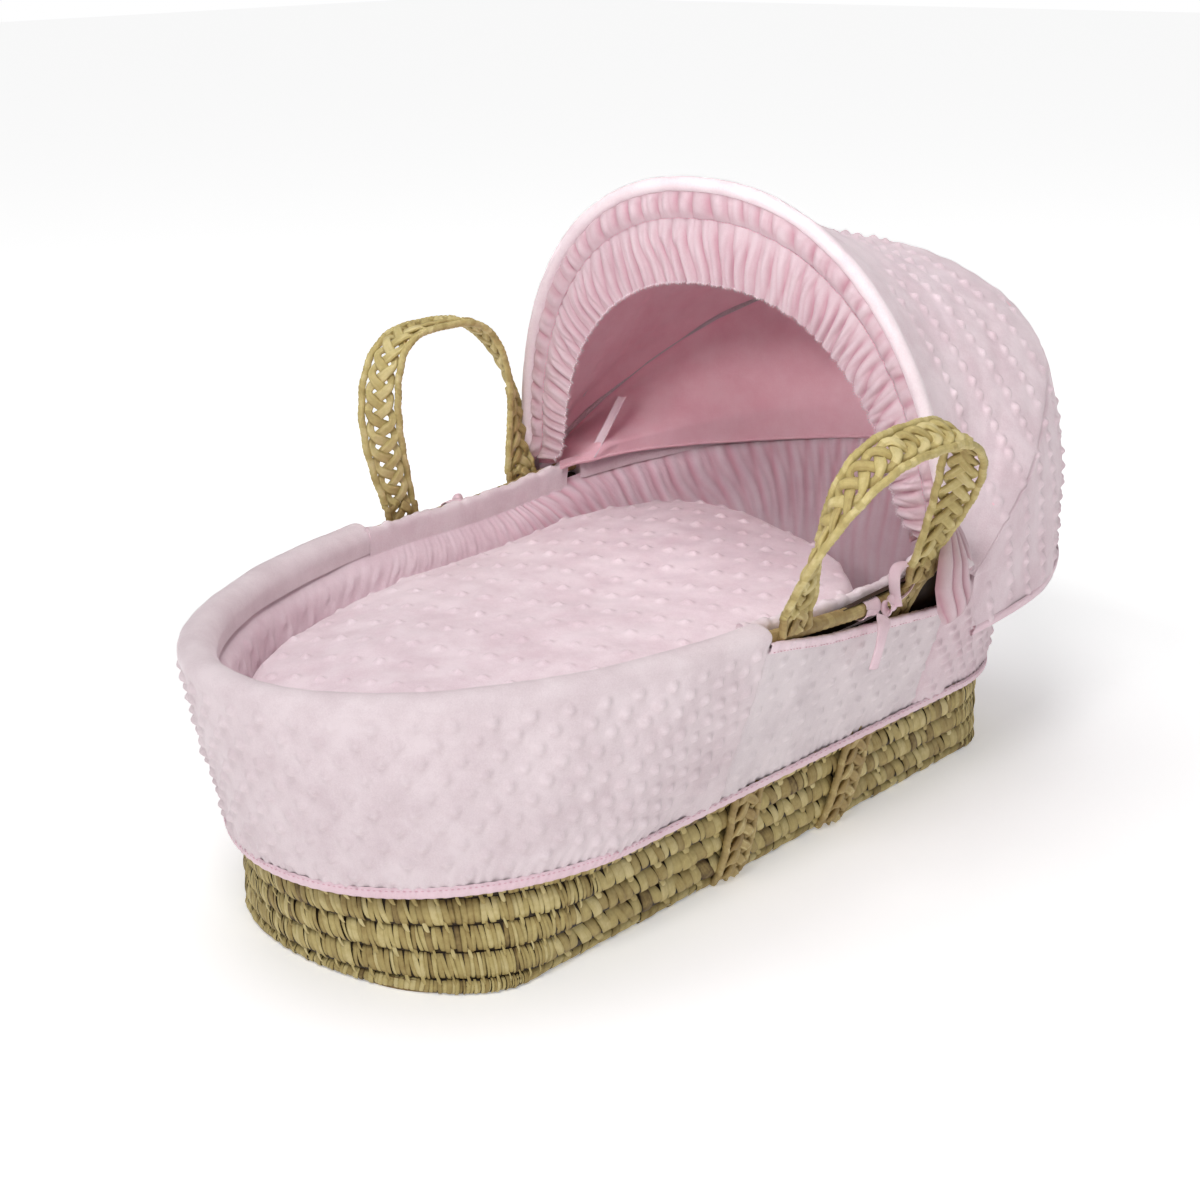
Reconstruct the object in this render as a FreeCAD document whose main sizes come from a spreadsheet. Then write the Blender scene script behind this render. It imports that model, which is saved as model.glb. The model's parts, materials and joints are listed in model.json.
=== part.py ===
import FreeCAD, Part
import math
import os
import Sketcher
from FreeCAD import Vector

# Woven baby basket (Moses basket) with a padded skirt, a gathered liner, a coverlet,
# two braided carry handles and a folding hood.  Millimetres, +Z up, +X towards the hood,
# origin on the floor under the middle of the basket.

doc = FreeCAD.newDocument("MosesBasket")
sheet = doc.addObject("Spreadsheet::Sheet", "Sizes")

SIZES = [
    # plan of the wall: half length, half width and half of the straight side
    ("base_length", 357), ("base_width", 136), ("base_side", 280),
    ("rim_length", 420), ("rim_width", 220), ("rim_side", 70),
    # height of the rim: middle, extra at both ends, extra towards the head
    ("rim_height", 236), ("rim_bow", 9), ("rim_tilt", 17),
    # hem of the skirt: middle, drop at both ends, drop towards the head
    ("hem_height", 82), ("hem_bow", 12), ("hem_tilt", 5), ("hem_tape", 7),
    # woven shell
    ("floor_thick", 9), ("floor_corner", 85), ("coil_radius", 5.2), ("floor_bottom", 0),
    ("course_height", 20.5), ("course_gap", 0.4), ("course_thick", 9), ("course_count", 4),
    ("weave_lean", 18), ("wall_thick", 7), ("rim_coil_radius", 5.5), ("rim_coil_drop", 10.5),
    ("rim_coil_in", 16), ("neck_thick", 5), ("neck_start", 34), ("neck_middle", 23),
    # skirt, flaps and liner
    ("cloth_thick", 4), ("cloth_ease", 2), ("roll_thick", 29), ("lip_depth", 22),
    ("liner_gap", 1.8), ("liner_thick", 5), ("seam_foot", -111), ("seam_head", 143),
    ("seam_gap", 0.5), ("slot_foot_height", 220), ("slot_head_height", 187), ("tape", 5),
    # bedding
    ("mattress_length", 660), ("mattress_width", 226), ("mattress_thick", 35),
    ("mattress_corner", 90), ("mattress_edge", 8),
    ("coverlet_drop", 42), ("coverlet_thick", 24), ("coverlet_crown", 12),
    ("coverlet_inset", 35), ("coverlet_head", 205),
    # hood
    ("pivot_x", 112), ("pivot_z", 218), ("pivot_pin", 3), ("pivot_disc", 9),
    ("hub_radius", 8), ("hub_inner", 214.5), ("hub_thick", 6), ("hub_play", 0.15),
    ("front_angle", 97), ("front_width", 217.5), ("front_reach", 285),
    ("rear_angle", 32), ("rear_width", 229.5), ("rear_reach", 321),
    ("rear_hub_inner", 226.5), ("bow_radius", 2.5), ("sleeve_bore", 3), ("sleeve_radius", 6.5),
    ("canopy_thick", 3), ("canopy_split", 73), ("arch_power", 2.25), ("hub_clear", 13),
    ("valance_bottom", 169),
    # ruffled facing of the hood
    ("ruffle_foot", 50), ("ruffle_thick", 6), ("ruffle_mid_width", 199),
    ("ruffle_mid_reach", 246), ("ruffle_in_width", 187), ("ruffle_in_reach", 214),
    ("elastic", 4),
    # carry handles
    ("handle_y", 214.5), ("handle_z", 236.5), ("handle_start", 4),
    ("near_x", -1.5), ("near_half", 75), ("far_x", 10), ("far_half", 72),
    ("handle_reach", 143), ("handle_power", 3.4), ("handle_skew", -26),
    ("handle_bulge", 0.085), ("near_lean", 27), ("far_lean", 0),
    ("band_half", 18), ("band_thick", 4), ("cord_radius", 3),
    ("strap_half", 18), ("strap_thin", 1.6), ("strap_thick", 7), ("strap_top_thick", 2.2),
    ("strap_gap", 1.6), ("strap_bottom", 1.5), ("strap_in", 5), ("strap_top", 232),
    # ribbon ties
    ("knot_x", 32), ("ribbon_wide", 10), ("ribbon_thin", 1.4), ("tail_long", 52),
]
for row, (alias, value) in enumerate(SIZES, start=1):
    sheet.set("A%d" % row, alias)
    sheet.set("B%d" % row, str(value))
    sheet.setAlias("B%d" % row, alias)
doc.recompute()


def size(alias):
    return float(sheet.get(alias))


NODES = []


def keep(thing, label):
    """Names a sub-part and puts it on the list of written pieces."""
    thing.Label = label
    NODES.append(thing)
    return thing


def shaped(label, shape):
    """A sub-part whose form comes from Part's own functions."""
    thing = doc.addObject("Part::Feature", label)
    thing.Shape = shape
    thing.Placement = FreeCAD.Placement()
    return keep(thing, label)


# ---------------------------------------------------------------- closed rings round the basket

END_STEPS = 16
SIDE_STEPS = 12


def rim_parameters():
    """Directions round the plan as (ends' cosine, ends' sine, place along the side)."""
    steps = []
    for i in range(END_STEPS + 1):
        angle = math.pi * (i / END_STEPS - 0.5)
        steps.append((math.cos(angle), math.sin(angle), 1.0))
    for i in range(1, SIDE_STEPS):
        steps.append((0.0, 1.0, 1.0 - 2.0 * i / SIDE_STEPS))
    for i in range(END_STEPS + 1):
        angle = math.pi * (i / END_STEPS + 0.5)
        steps.append((math.cos(angle), math.sin(angle), -1.0))
    for i in range(1, SIDE_STEPS):
        steps.append((0.0, -1.0, -1.0 + 2.0 * i / SIDE_STEPS))
    foot = END_STEPS + SIDE_STEPS + END_STEPS // 2
    return steps[foot:] + steps[:foot]


RIM_PARAMETERS = rim_parameters()


def mix(start, end, level):
    return start + (end - start) * level


def plan_point(step, level, offset):
    """A point of the wall's plan at a level from 0, the floor, to 1, the rim."""
    cosine, sine, along = step
    half = mix(size("base_length"), size("rim_length"), level)
    side = mix(size("base_side"), size("rim_side"), level)
    width = mix(size("base_width"), size("rim_width"), level)
    x = side * along + (half - side + offset) * cosine
    return x, (width + offset) * sine


def rim_height(u):
    return size("rim_height") + size("rim_bow") * u * u + size("rim_tilt") * u


def hem_height(u):
    return size("hem_height") - size("hem_bow") * u * u - size("hem_tilt") * u


def ring_knots():
    """Where each direction falls along a ring, measured half way up the wall."""
    places = [Vector(*plan_point(step, 0.5, 0.0), 0) for step in RIM_PARAMETERS]
    knots = [0.0]
    for i in range(1, len(places) + 1):
        knots.append(knots[-1] + (places[i % len(places)] - places[i - 1]).Length)
    return knots


RING_KNOTS = ring_knots()


def ring(height, offset, level=None):
    """A closed smooth curve; height is a function of u, the place from foot -1 to head 1."""
    points = []
    for step in RIM_PARAMETERS:
        u = plan_point(step, 1.0, 0.0)[0] / size("rim_length")
        z = height(u)
        here = z / rim_height(u) if level is None else level
        shift = offset(here) if callable(offset) else offset
        x, y = plan_point(step, here, shift)
        points.append(Vector(x, y, z))
    curve = Part.BSplineCurve()
    curve.interpolate(Points=points, Parameters=RING_KNOTS, PeriodicFlag=True)
    return Part.Wire([curve.toShape()])


def ring_solid(rings):
    """A solid whose closed cross-section goes through the rings in order."""
    solid = Part.makeLoft(rings, True, True, True)
    if solid.ShapeType != "Solid":
        solid = Part.Solid(Part.Shell(solid.Faces))
    if solid.Volume < 0:
        solid.reverse()
    return solid


def weave_out(level):
    return -size("weave_lean") * level


def cloth_out(level):
    return size("cloth_ease") * (1.0 - level)


def cloth_in(level):
    return cloth_out(level) - size("cloth_thick")


def at(base, extra=0.0):
    """A height function: the rim, the hem or a plain height, plus a distance."""
    if callable(base):
        return lambda u: base(u) + extra
    return lambda u: base + extra


def round_ring(level, offset, height, half_width, half_height, sides=8):
    """A ring of rounded section: a coil, or one flattened course of braid."""
    rings = []
    flat = math.cos(math.pi / sides)
    for i in range(sides):
        angle = 2.0 * math.pi * (i + 0.5) / sides
        out = half_width * math.cos(angle) / flat
        up = half_height * math.sin(angle) / flat
        rings.append(ring(at(height, up), offset + out, level))
    return ring_solid(rings)


def block(x0, x1, y0, y1, z0, z1):
    return Part.makeBox(x1 - x0, y1 - y0, z1 - z0, Vector(x0, y0, z0))


FAR_AWAY = 700.0
HIGH = 800.0


def sliced(shape, x0, x1, side=0):
    """The part of a ring between two seams, on one side or on both."""
    y0 = -FAR_AWAY if side <= 0 else 0.0
    y1 = FAR_AWAY if side >= 0 else 0.0
    return shape.common(block(x0, x1, y0, y1, -1.0, HIGH))


# ---------------------------------------------------------------- woven basket

# The outline is drawn this large first, and then takes its sizes from the sheet.
FIRST_LENGTH = 200.0
FIRST_WIDTH = 100.0


def rounded_pad(label, length, width, thick, corner, bottom, edge=None):
    """A flat body with round corners, its sizes bound to the sheet."""
    body = doc.addObject("PartDesign::Body", label)
    sketch = body.newObject("Sketcher::SketchObject", label + "_outline")
    plane = [f for f in body.Origin.OriginFeatures if f.Role == "XY_Plane"][0]
    sketch.AttachmentSupport = (plane, [""])
    sketch.MapMode = "FlatFace"
    half_l = 0.5 * FIRST_LENGTH
    half_w = 0.5 * FIRST_WIDTH
    corners = [(-half_l, -half_w), (half_l, -half_w), (half_l, half_w), (-half_l, half_w)]
    for i in range(4):
        start = Vector(corners[i][0], corners[i][1], 0)
        end = Vector(corners[(i + 1) % 4][0], corners[(i + 1) % 4][1], 0)
        sketch.addGeometry(Part.LineSegment(start, end), False)
    for i in range(4):
        sketch.addConstraint(Sketcher.Constraint("Coincident", i, 2, (i + 1) % 4, 1))
    for i in (0, 2):
        sketch.addConstraint(Sketcher.Constraint("Horizontal", i))
    for i in (1, 3):
        sketch.addConstraint(Sketcher.Constraint("Vertical", i))
    sketch.addConstraint(Sketcher.Constraint("Symmetric", 0, 1, 1, 2, -1, 1))
    sketch.addConstraint(Sketcher.Constraint("DistanceX", 0, 1, 0, 2, FIRST_LENGTH))
    sketch.setExpression("Constraints[9]", length)
    sketch.addConstraint(Sketcher.Constraint("DistanceY", 1, 1, 1, 2, FIRST_WIDTH))
    sketch.setExpression("Constraints[10]", width)
    pad = body.newObject("PartDesign::Pad", label + "_pad")
    pad.Profile = sketch
    pad.setExpression("Length", thick)
    doc.recompute()
    upright = []
    for i, line in enumerate(pad.Shape.Edges, start=1):
        if abs(line.tangentAt(line.FirstParameter).z) > 0.9:
            upright.append("Edge%d" % i)
    fillet = body.newObject("PartDesign::Fillet", label + "_corners")
    fillet.Base = (pad, upright)
    fillet.setExpression("Radius", corner)
    doc.recompute()
    if edge:
        top = max(face.BoundBox.ZMax for face in fillet.Shape.Faces)
        loop = []
        for i, line in enumerate(fillet.Shape.Edges, start=1):
            if line.BoundBox.ZMin > top - 0.01:
                loop.append("Edge%d" % i)
        soft = body.newObject("PartDesign::Fillet", label + "_edge")
        soft.Base = (fillet, loop)
        soft.setExpression("Radius", edge)
    body.setExpression("Placement.Base.z", bottom)
    return keep(body, label)


rounded_pad(
    "basket_floor",
    "2 * (Sizes.base_length - Sizes.coil_radius - 2)",
    "2 * (Sizes.base_width - Sizes.coil_radius - 2)",
    "Sizes.floor_thick", "Sizes.floor_corner", "Sizes.floor_bottom",
)

COIL = size("coil_radius")

base_coil = round_ring(0.0, -COIL, COIL - 0.4, COIL, COIL)
base_coil = base_coil.cut(block(-FAR_AWAY, FAR_AWAY, -FAR_AWAY, FAR_AWAY, -5.0, 0.0))
shaped("base_coil", base_coil.cut(doc.getObject("basket_floor").Shape))

COURSE = size("course_height")
COURSE_HALF = 0.5 * (COURSE - size("course_gap"))
COURSES = int(size("course_count"))
for number in range(1, COURSES + 1):
    middle = 2 * COIL + COURSE * (number - 0.5)
    level = middle / size("rim_height")
    centre = weave_out(level) - 0.5 * size("course_thick")
    course = round_ring(level, centre, middle, 0.5 * size("course_thick"), COURSE_HALF)
    shaped("braid_course_%d" % number, course)

UPPER_START = 2 * COIL + COURSE * COURSES + size("course_gap")
RIM_COIL = size("rim_coil_radius")
COIL_DROP = size("rim_coil_drop")
COIL_IN = size("rim_coil_in")
NECK = size("neck_thick")
NECK_TOP = -COIL_DROP - RIM_COIL - 0.9 - size("ribbon_thin") - 0.4
upper_wall = ring_solid([
    ring(at(UPPER_START), weave_out),
    ring(at(rim_height, -size("neck_start")), weave_out),
    ring(at(rim_height, -size("neck_middle")), -COIL_IN - 0.5 * NECK, 1.0),
    ring(at(rim_height, NECK_TOP), -COIL_IN + 0.5 * NECK, 1.0),
    ring(at(rim_height, NECK_TOP), -COIL_IN - 0.5 * NECK, 1.0),
    ring(at(rim_height, -size("neck_middle")), -COIL_IN - 1.5 * NECK, 1.0),
    ring(at(rim_height, -size("neck_start")), lambda k: weave_out(k) - size("wall_thick")),
    ring(at(UPPER_START), lambda k: weave_out(k) - size("wall_thick")),
])
shaped("upper_wall", upper_wall)
shaped("rim_coil", round_ring(1.0, -COIL_IN, at(rim_height, -COIL_DROP), RIM_COIL, RIM_COIL))

# The handles' braided straps run down the outside of the wall, under the skirt, to the floor.
HANDLE_Y = size("handle_y")
HANDLE_Z = size("handle_z")
PAST_COIL = size("rim_width") - COIL_IN + RIM_COIL + 0.7
STRAP_MIDDLE = [120.0, 160.0, 190.0]
STRAP_HIGH = [(205.0, 198.2), (214.0, 206.2), (216.5, 207.2), (219.5, PAST_COIL),
              (size("strap_top"), PAST_COIL)]


def wall_y(x, z, offset):
    """Half width of the wall's plan at a place x and a height z, moved out by an offset."""
    level = min(1.0, z / size("rim_height"))
    half = mix(size("base_length"), size("rim_length"), level)
    side = mix(size("base_side"), size("rim_side"), level)
    width = mix(size("base_width"), size("rim_width"), level)
    past = max(0.0, abs(x) - side) / (half - side + offset)
    return (width + offset) * math.sqrt(1.0 - past * past)


def strap(side, foot_x, top_x):
    """One strap: thick where it shows below the hem, thin behind the skirt, out round the coil."""
    half = size("strap_half")
    hem = size("hem_height")
    stations = []
    for z in (size("strap_bottom"), 0.2 * hem, 0.5 * hem, hem, *STRAP_MIDDLE):
        inside = weave_out(z / size("rim_height")) + size("strap_gap")
        deep = size("strap_thick") if z < hem else size("strap_thin")
        stations.append((z, inside, deep))
    for z, place in STRAP_HIGH:
        deep = size("strap_thin") if place < PAST_COIL else size("strap_top_thick")
        stations.append((z, place - wall_y(0.0, z, 0.0), deep))
    wires = []
    for z, inside, deep in stations:
        middle = mix(foot_x, top_x, z / HANDLE_Z)
        inner = [Vector(middle + half * k, side * wall_y(middle + half * k, z, inside), z)
                 for k in (-1, 0, 1)]
        outer = [Vector(middle + half * k, side * (wall_y(middle + half * k, z, inside) + deep), z)
                 for k in (1, 0, -1)]
        wires.append(Part.makePolygon(inner + outer + inner[:1]))
    return Part.makeLoft(wires, True, True)


HANDLE_X = {-1: size("near_x"), 1: size("far_x")}
HANDLE_HALF = {-1: size("near_half"), 1: size("far_half")}
for side, side_name in ((-1, "near"), (1, "far")):
    for end, end_name in ((-1, "foot"), (1, "head")):
        strap_x = HANDLE_X[side] + end * HANDLE_HALF[side]
        foot_x = strap_x - end * size("strap_in") + 4.0 * (side < 0)
        shaped("strap_%s_%s" % (side_name, end_name), strap(side, foot_x, strap_x))

# ---------------------------------------------------------------- skirt and flaps

SEAM_FOOT = size("seam_foot")
SEAM_HEAD = size("seam_head")
SEAM = size("seam_gap")
CLOTH = size("cloth_thick")
ROLL = size("roll_thick")
TAPE = size("hem_tape")


def skirt_ring():
    """The skirt's section: up the outside, over the rim as a soft roll, and down inside."""
    half = 0.5 * ROLL
    crown = -half * 0.95
    rings = [ring(at(hem_height, TAPE), cloth_out), ring(at(rim_height, crown), cloth_out)]
    arc = 5
    for i in range(1, arc):
        angle = math.pi * i / arc
        out = -half + half * math.cos(angle)
        rings.append(ring(at(rim_height, crown + half * 0.95 * math.sin(angle)), out, 1.0))
    rings.append(ring(at(rim_height, crown), -ROLL, 1.0))
    rings.append(ring(at(rim_height, -size("lip_depth")), -ROLL, 1.0))
    rings.append(ring(at(rim_height, -size("lip_depth")), -ROLL + CLOTH, 1.0))
    rings.append(ring(at(rim_height, crown), -ROLL + CLOTH, 1.0))
    inner = half - CLOTH
    for i in range(arc - 1, 0, -1):
        angle = math.pi * i / arc
        out = -half + inner * math.cos(angle)
        rings.append(ring(at(rim_height, crown + inner * 0.95 * math.sin(angle)), out, 1.0))
    rings.append(ring(at(rim_height, crown), cloth_in))
    rings.append(ring(at(hem_height, TAPE), cloth_in))
    return ring_solid(rings)


SKIRT = skirt_ring()
shaped("skirt_foot_panel", sliced(SKIRT, -FAR_AWAY, SEAM_FOOT - SEAM))
shaped("skirt_head_panel", sliced(SKIRT, SEAM_HEAD + SEAM, FAR_AWAY))

FLAP_RING = ring_solid([
    ring(at(hem_height, TAPE), cloth_out),
    ring(at(rim_height, -4.0), cloth_out),
    ring(at(rim_height, -4.0), cloth_in),
    ring(at(hem_height, TAPE), cloth_in),
])
TAPE_RING = ring_solid([
    ring(at(hem_height, TAPE + 60.0), lambda k: cloth_out(k) + 0.8),
    ring(at(rim_height, 2.0), lambda k: cloth_out(k) + 0.8),
    ring(at(rim_height, 2.0), lambda k: cloth_in(k) - 0.4),
    ring(at(hem_height, TAPE + 60.0), lambda k: cloth_in(k) - 0.4),
])


def below_slot(low, high):
    """A block between two lines that follow the slot's sloping lower edge."""
    foot = size("slot_foot_height")
    head = size("slot_head_height")
    corners = [
        Vector(SEAM_FOOT, -FAR_AWAY, foot + low), Vector(SEAM_HEAD, -FAR_AWAY, head + low),
        Vector(SEAM_HEAD, -FAR_AWAY, head + high), Vector(SEAM_FOOT, -FAR_AWAY, foot + high),
    ]
    face = Part.Face(Part.makePolygon(corners + corners[:1]))
    return face.extrude(Vector(0, 2 * FAR_AWAY, 0))


for side, side_name in ((-1, "near"), (1, "far")):
    flap = sliced(FLAP_RING, SEAM_FOOT, SEAM_HEAD, side)
    flap = flap.common(below_slot(-FAR_AWAY, -size("tape")))
    shaped("skirt_flap_%s" % side_name, flap)
    binding = sliced(TAPE_RING, SEAM_FOOT, SEAM_HEAD, side)
    binding = binding.common(below_slot(-size("tape") + 0.2, 0.0))
    shaped("slot_binding_%s" % side_name, binding)

hem_binding = ring_solid([
    ring(at(hem_height), lambda k: cloth_out(k) + 0.8),
    ring(at(hem_height, TAPE - 0.4), lambda k: cloth_out(k) + 0.8),
    ring(at(hem_height, TAPE - 0.4), lambda k: cloth_in(k) + 0.5),
    ring(at(hem_height), lambda k: cloth_in(k) + 0.5),
])
shaped("hem_binding", hem_binding)

# ---------------------------------------------------------------- liner and bedding

LINER = size("liner_thick")
LIP = size("lip_depth")
LINER_START = 2 * COIL + 1.0


def liner_out(level):
    return weave_out(level) - size("course_thick") - size("liner_gap")


liner = ring_solid([
    ring(at(LINER_START), liner_out),
    ring(at(rim_height, -LIP - 1.0), liner_out),
    ring(at(rim_height, -LIP - 1.0), lambda k: liner_out(k) - LINER),
    ring(at(LINER_START), lambda k: liner_out(k) - LINER),
])
shaped("liner_wall", liner)

LIP_RING = ring_solid([
    ring(at(rim_height, -LIP), -ROLL + CLOTH - 0.5, 1.0),
    ring(at(rim_height, 3.0), -ROLL + CLOTH - 0.5, 1.0),
    ring(at(rim_height, 3.0), -ROLL, 1.0),
    ring(at(rim_height, -LIP), -ROLL, 1.0),
])
for side, side_name in ((-1, "near"), (1, "far")):
    shaped("liner_lip_%s" % side_name, sliced(LIP_RING, SEAM_FOOT, SEAM_HEAD, side))

rounded_pad(
    "mattress", "Sizes.mattress_length", "Sizes.mattress_width", "Sizes.mattress_thick",
    "Sizes.mattress_corner", "Sizes.floor_thick + 0.5",
    "Sizes.mattress_edge",
)


def coverlet_ring(drop, inset):
    """The coverlet's outline: the liner's plan at the foot, a rounded end at the head."""
    points = []
    squeeze = size("coverlet_head") / size("rim_length")
    for step in RIM_PARAMETERS:
        u = plan_point(step, 1.0, 0.0)[0] / size("rim_length")
        z = size("rim_height") + size("rim_tilt") * u - drop
        x, y = plan_point(step, z / rim_height(u), -inset)
        x = x * squeeze if x > 0 else x
        points.append(Vector(x, y, size("rim_height") + size("rim_tilt") * x / size("rim_length") - drop))
    curve = Part.BSplineCurve()
    curve.interpolate(points, PeriodicFlag=True)
    return Part.Wire([curve.toShape()])


DROP = size("coverlet_drop")
INSET = size("coverlet_inset")
coverlet = Part.makeLoft([
    coverlet_ring(DROP + size("coverlet_thick"), INSET + 4.0),
    coverlet_ring(DROP, INSET),
    coverlet_ring(DROP - 0.6 * size("coverlet_crown"), INSET + 26.0),
    coverlet_ring(DROP - size("coverlet_crown"), INSET + 70.0),
], True, True)
shaped("coverlet", coverlet)

# ---------------------------------------------------------------- hood

PIVOT = Vector(size("pivot_x"), 0, size("pivot_z"))
POWER = size("arch_power")


def direction(angle):
    return Vector(math.cos(math.radians(angle)), 0, math.sin(math.radians(angle)))


def arch_points(angle, width, reach, start, count=20):
    """Points of a bow from one side to the other, in the plane that leans by angle."""
    low = math.asin(min(1.0, (start / reach) ** (POWER / 2.0)))
    along = direction(angle)
    points = []
    for i in range(count + 1):
        turn = low + (math.pi - 2 * low) * i / count
        cosine = math.cos(turn)
        y = width * math.copysign(abs(cosine) ** (2.0 / POWER), cosine)
        rise = reach * math.sin(turn) ** (2.0 / POWER)
        points.append(PIVOT + along * rise + Vector(0, y, 0))
    return points


def smooth(points):
    curve = Part.BSplineCurve()
    curve.interpolate(points)
    return curve.toShape()


def section(centre, across, up, half_across, half_up, sides):
    """A closed polygon round a centre, in the plane of two directions."""
    corners = []
    for i in range(sides):
        angle = 2.0 * math.pi * (i + 0.5) / sides
        step = across * (half_across * math.cos(angle)) + up * (half_up * math.sin(angle))
        corners.append(centre + step)
    return Part.makePolygon(corners + corners[:1])


def bar(points, across_of, half_across, half_up, sides=8):
    """A bar along points; across_of(i, tangent) gives the direction of its width."""
    wires = []
    last = len(points) - 1
    for i, point in enumerate(points):
        tangent = (points[min(i + 1, last)] - points[max(i - 1, 0)]).normalize()
        across = across_of(i, tangent)
        across = (across - tangent * across.dot(tangent)).normalize()
        up = tangent.cross(across)
        wires.append(section(point, across, up, half_across, half_up, sides))
    return Part.makeLoft(wires, True, True)


def arch_bar(angle, width, reach, start, radius):
    out_of_plane = direction(angle).cross(Vector(0, 1, 0))
    points = arch_points(angle, width, reach, start)
    return bar(points, lambda i, t: out_of_plane, radius, radius)


def hub(side, inner):
    """The eye at the end of a bow."""
    thick = size("hub_thick")
    start = Vector(PIVOT.x, side * inner, PIVOT.z)
    along = Vector(0, side, 0)
    disc = Part.makeCylinder(size("hub_radius"), thick, start, along)
    hole = Part.makeCylinder(size("pivot_pin") + size("hub_play"), thick + 2,
                             start - along, along)
    return disc.cut(hole)


def crescent(angle, width, reach, start, thick):
    """The canopy's section in the plane that leans by angle."""
    outer = arch_points(angle, width, reach, start)
    inner = arch_points(angle, width - thick, reach - thick, start)
    sides = [
        smooth(outer), Part.makeLine(outer[-1], inner[-1]),
        smooth(inner), Part.makeLine(inner[0], outer[0]),
    ]
    return Part.Wire(Part.__sortEdges__(sides))


FRONT = size("front_angle")
REAR = size("rear_angle")
CLEAR = size("hub_clear")
BOW = size("bow_radius")
SKIN = size("canopy_thick")
SPLIT = size("canopy_split")

for side, side_name in ((-1, "near"), (1, "far")):
    disc_start = size("hub_inner") - 2.0
    disc = Part.makeCylinder(size("pivot_disc"), 1.6,
                             Vector(PIVOT.x, side * disc_start, PIVOT.z), Vector(0, side, 0))
    pin_long = size("rear_hub_inner") + size("hub_thick") - disc_start
    pin = Part.makeCylinder(size("pivot_pin"), pin_long,
                            Vector(PIVOT.x, side * disc_start, PIVOT.z), Vector(0, side, 0))
    shaped("hood_hinge_%s" % side_name, disc.fuse(pin).removeSplitter())

front_bow = arch_bar(FRONT, size("front_width"), size("front_reach"), 5.0, BOW)
front_hubs = [hub(side, size("hub_inner")) for side in (-1, 1)]
pin_room = Part.makeCylinder(size("pivot_pin") + size("hub_play"), 600,
                             PIVOT - Vector(0, 300, 0), Vector(0, 1, 0))
shaped("hood_front_bow", front_bow.fuse(front_hubs).cut(pin_room).removeSplitter())

rear_bow = arch_bar(REAR, size("rear_width"), size("rear_reach"), 5.0, BOW)
rear_hubs = [hub(side, size("rear_hub_inner")) for side in (-1, 1)]
shaped("hood_rear_bow", rear_bow.fuse(rear_hubs).cut(pin_room).removeSplitter())

SLEEVE = size("sleeve_radius")
sleeve_path = (FRONT, size("front_width"), size("front_reach"), CLEAR)
sleeve = arch_bar(*sleeve_path, SLEEVE).cut(arch_bar(*sleeve_path[:3], 6.0, size("sleeve_bore")))
shaped("hood_edge_roll", sleeve)

front_cloth = crescent(FRONT, size("front_width") + SLEEVE, size("front_reach") + SLEEVE,
                       CLEAR, SKIN)
front_panel = Part.Face(front_cloth).revolve(PIVOT, Vector(0, 1, 0), FRONT - SPLIT)
sleeve_room = arch_bar(FRONT, size("front_width"), size("front_reach"), 4.0, SLEEVE + 0.8)
shaped("canopy_front_panel", front_panel.cut(sleeve_room))

REAR_WIDTH = size("rear_width") + BOW + 1.0 + SKIN
REAR_REACH = size("rear_reach") + BOW + 1.0 + SKIN
SPLIT_WIDTH = size("front_width") + SLEEVE + 1.5 + SKIN
SPLIT_REACH = size("front_reach") + SLEEVE + 3.5 + SKIN
middle_panel = Part.makeLoft([
    crescent(SPLIT + 2.0, SPLIT_WIDTH, SPLIT_REACH, CLEAR, SKIN),
    crescent(0.5 * (SPLIT + REAR), 0.5 * (SPLIT_WIDTH + REAR_WIDTH),
             0.5 * (SPLIT_REACH + REAR_REACH) - 4.0, CLEAR, SKIN),
    crescent(REAR + 0.3, REAR_WIDTH, REAR_REACH, CLEAR, SKIN),
], True, True)
shaped("canopy_middle_panel", middle_panel)

back_panel = Part.makeLoft([
    crescent(REAR - 0.3, REAR_WIDTH, REAR_REACH, CLEAR, SKIN),
    crescent(0.5 * REAR, REAR_WIDTH, REAR_REACH - 2.0, CLEAR, SKIN),
    crescent(0.5, REAR_WIDTH, REAR_REACH - 5.0, CLEAR, SKIN),
], True, True)
shaped("canopy_back_panel", back_panel)

valance_face = Part.Face(crescent(0.0, REAR_WIDTH, REAR_REACH - 5.0, CLEAR * 0.2, SKIN))
valance = valance_face.extrude(Vector(0, 0, size("valance_bottom") - size("pivot_z") - 0.5))
valance.translate(Vector(0, 0, -0.5))
shaped("canopy_valance", valance)

# ---------------------------------------------------------------- ruffled facing


def facing(outer_width, outer_reach, inner_width, inner_reach, thick):
    """A flat arched band in the front bow's plane, open at the bottom."""
    foot = size("ruffle_foot")
    outer = arch_points(FRONT, outer_width, outer_reach, foot)
    inner = arch_points(FRONT, inner_width, inner_reach, foot)
    sides = [
        smooth(outer), Part.makeLine(outer[-1], inner[-1]),
        smooth(inner), Part.makeLine(inner[0], outer[0]),
    ]
    normal = direction(FRONT).cross(Vector(0, 1, 0))
    face = Part.Face(Part.Wire(Part.__sortEdges__(sides)))
    face.translate(normal * (-0.5 * thick))
    return face.extrude(normal * thick)


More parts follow.
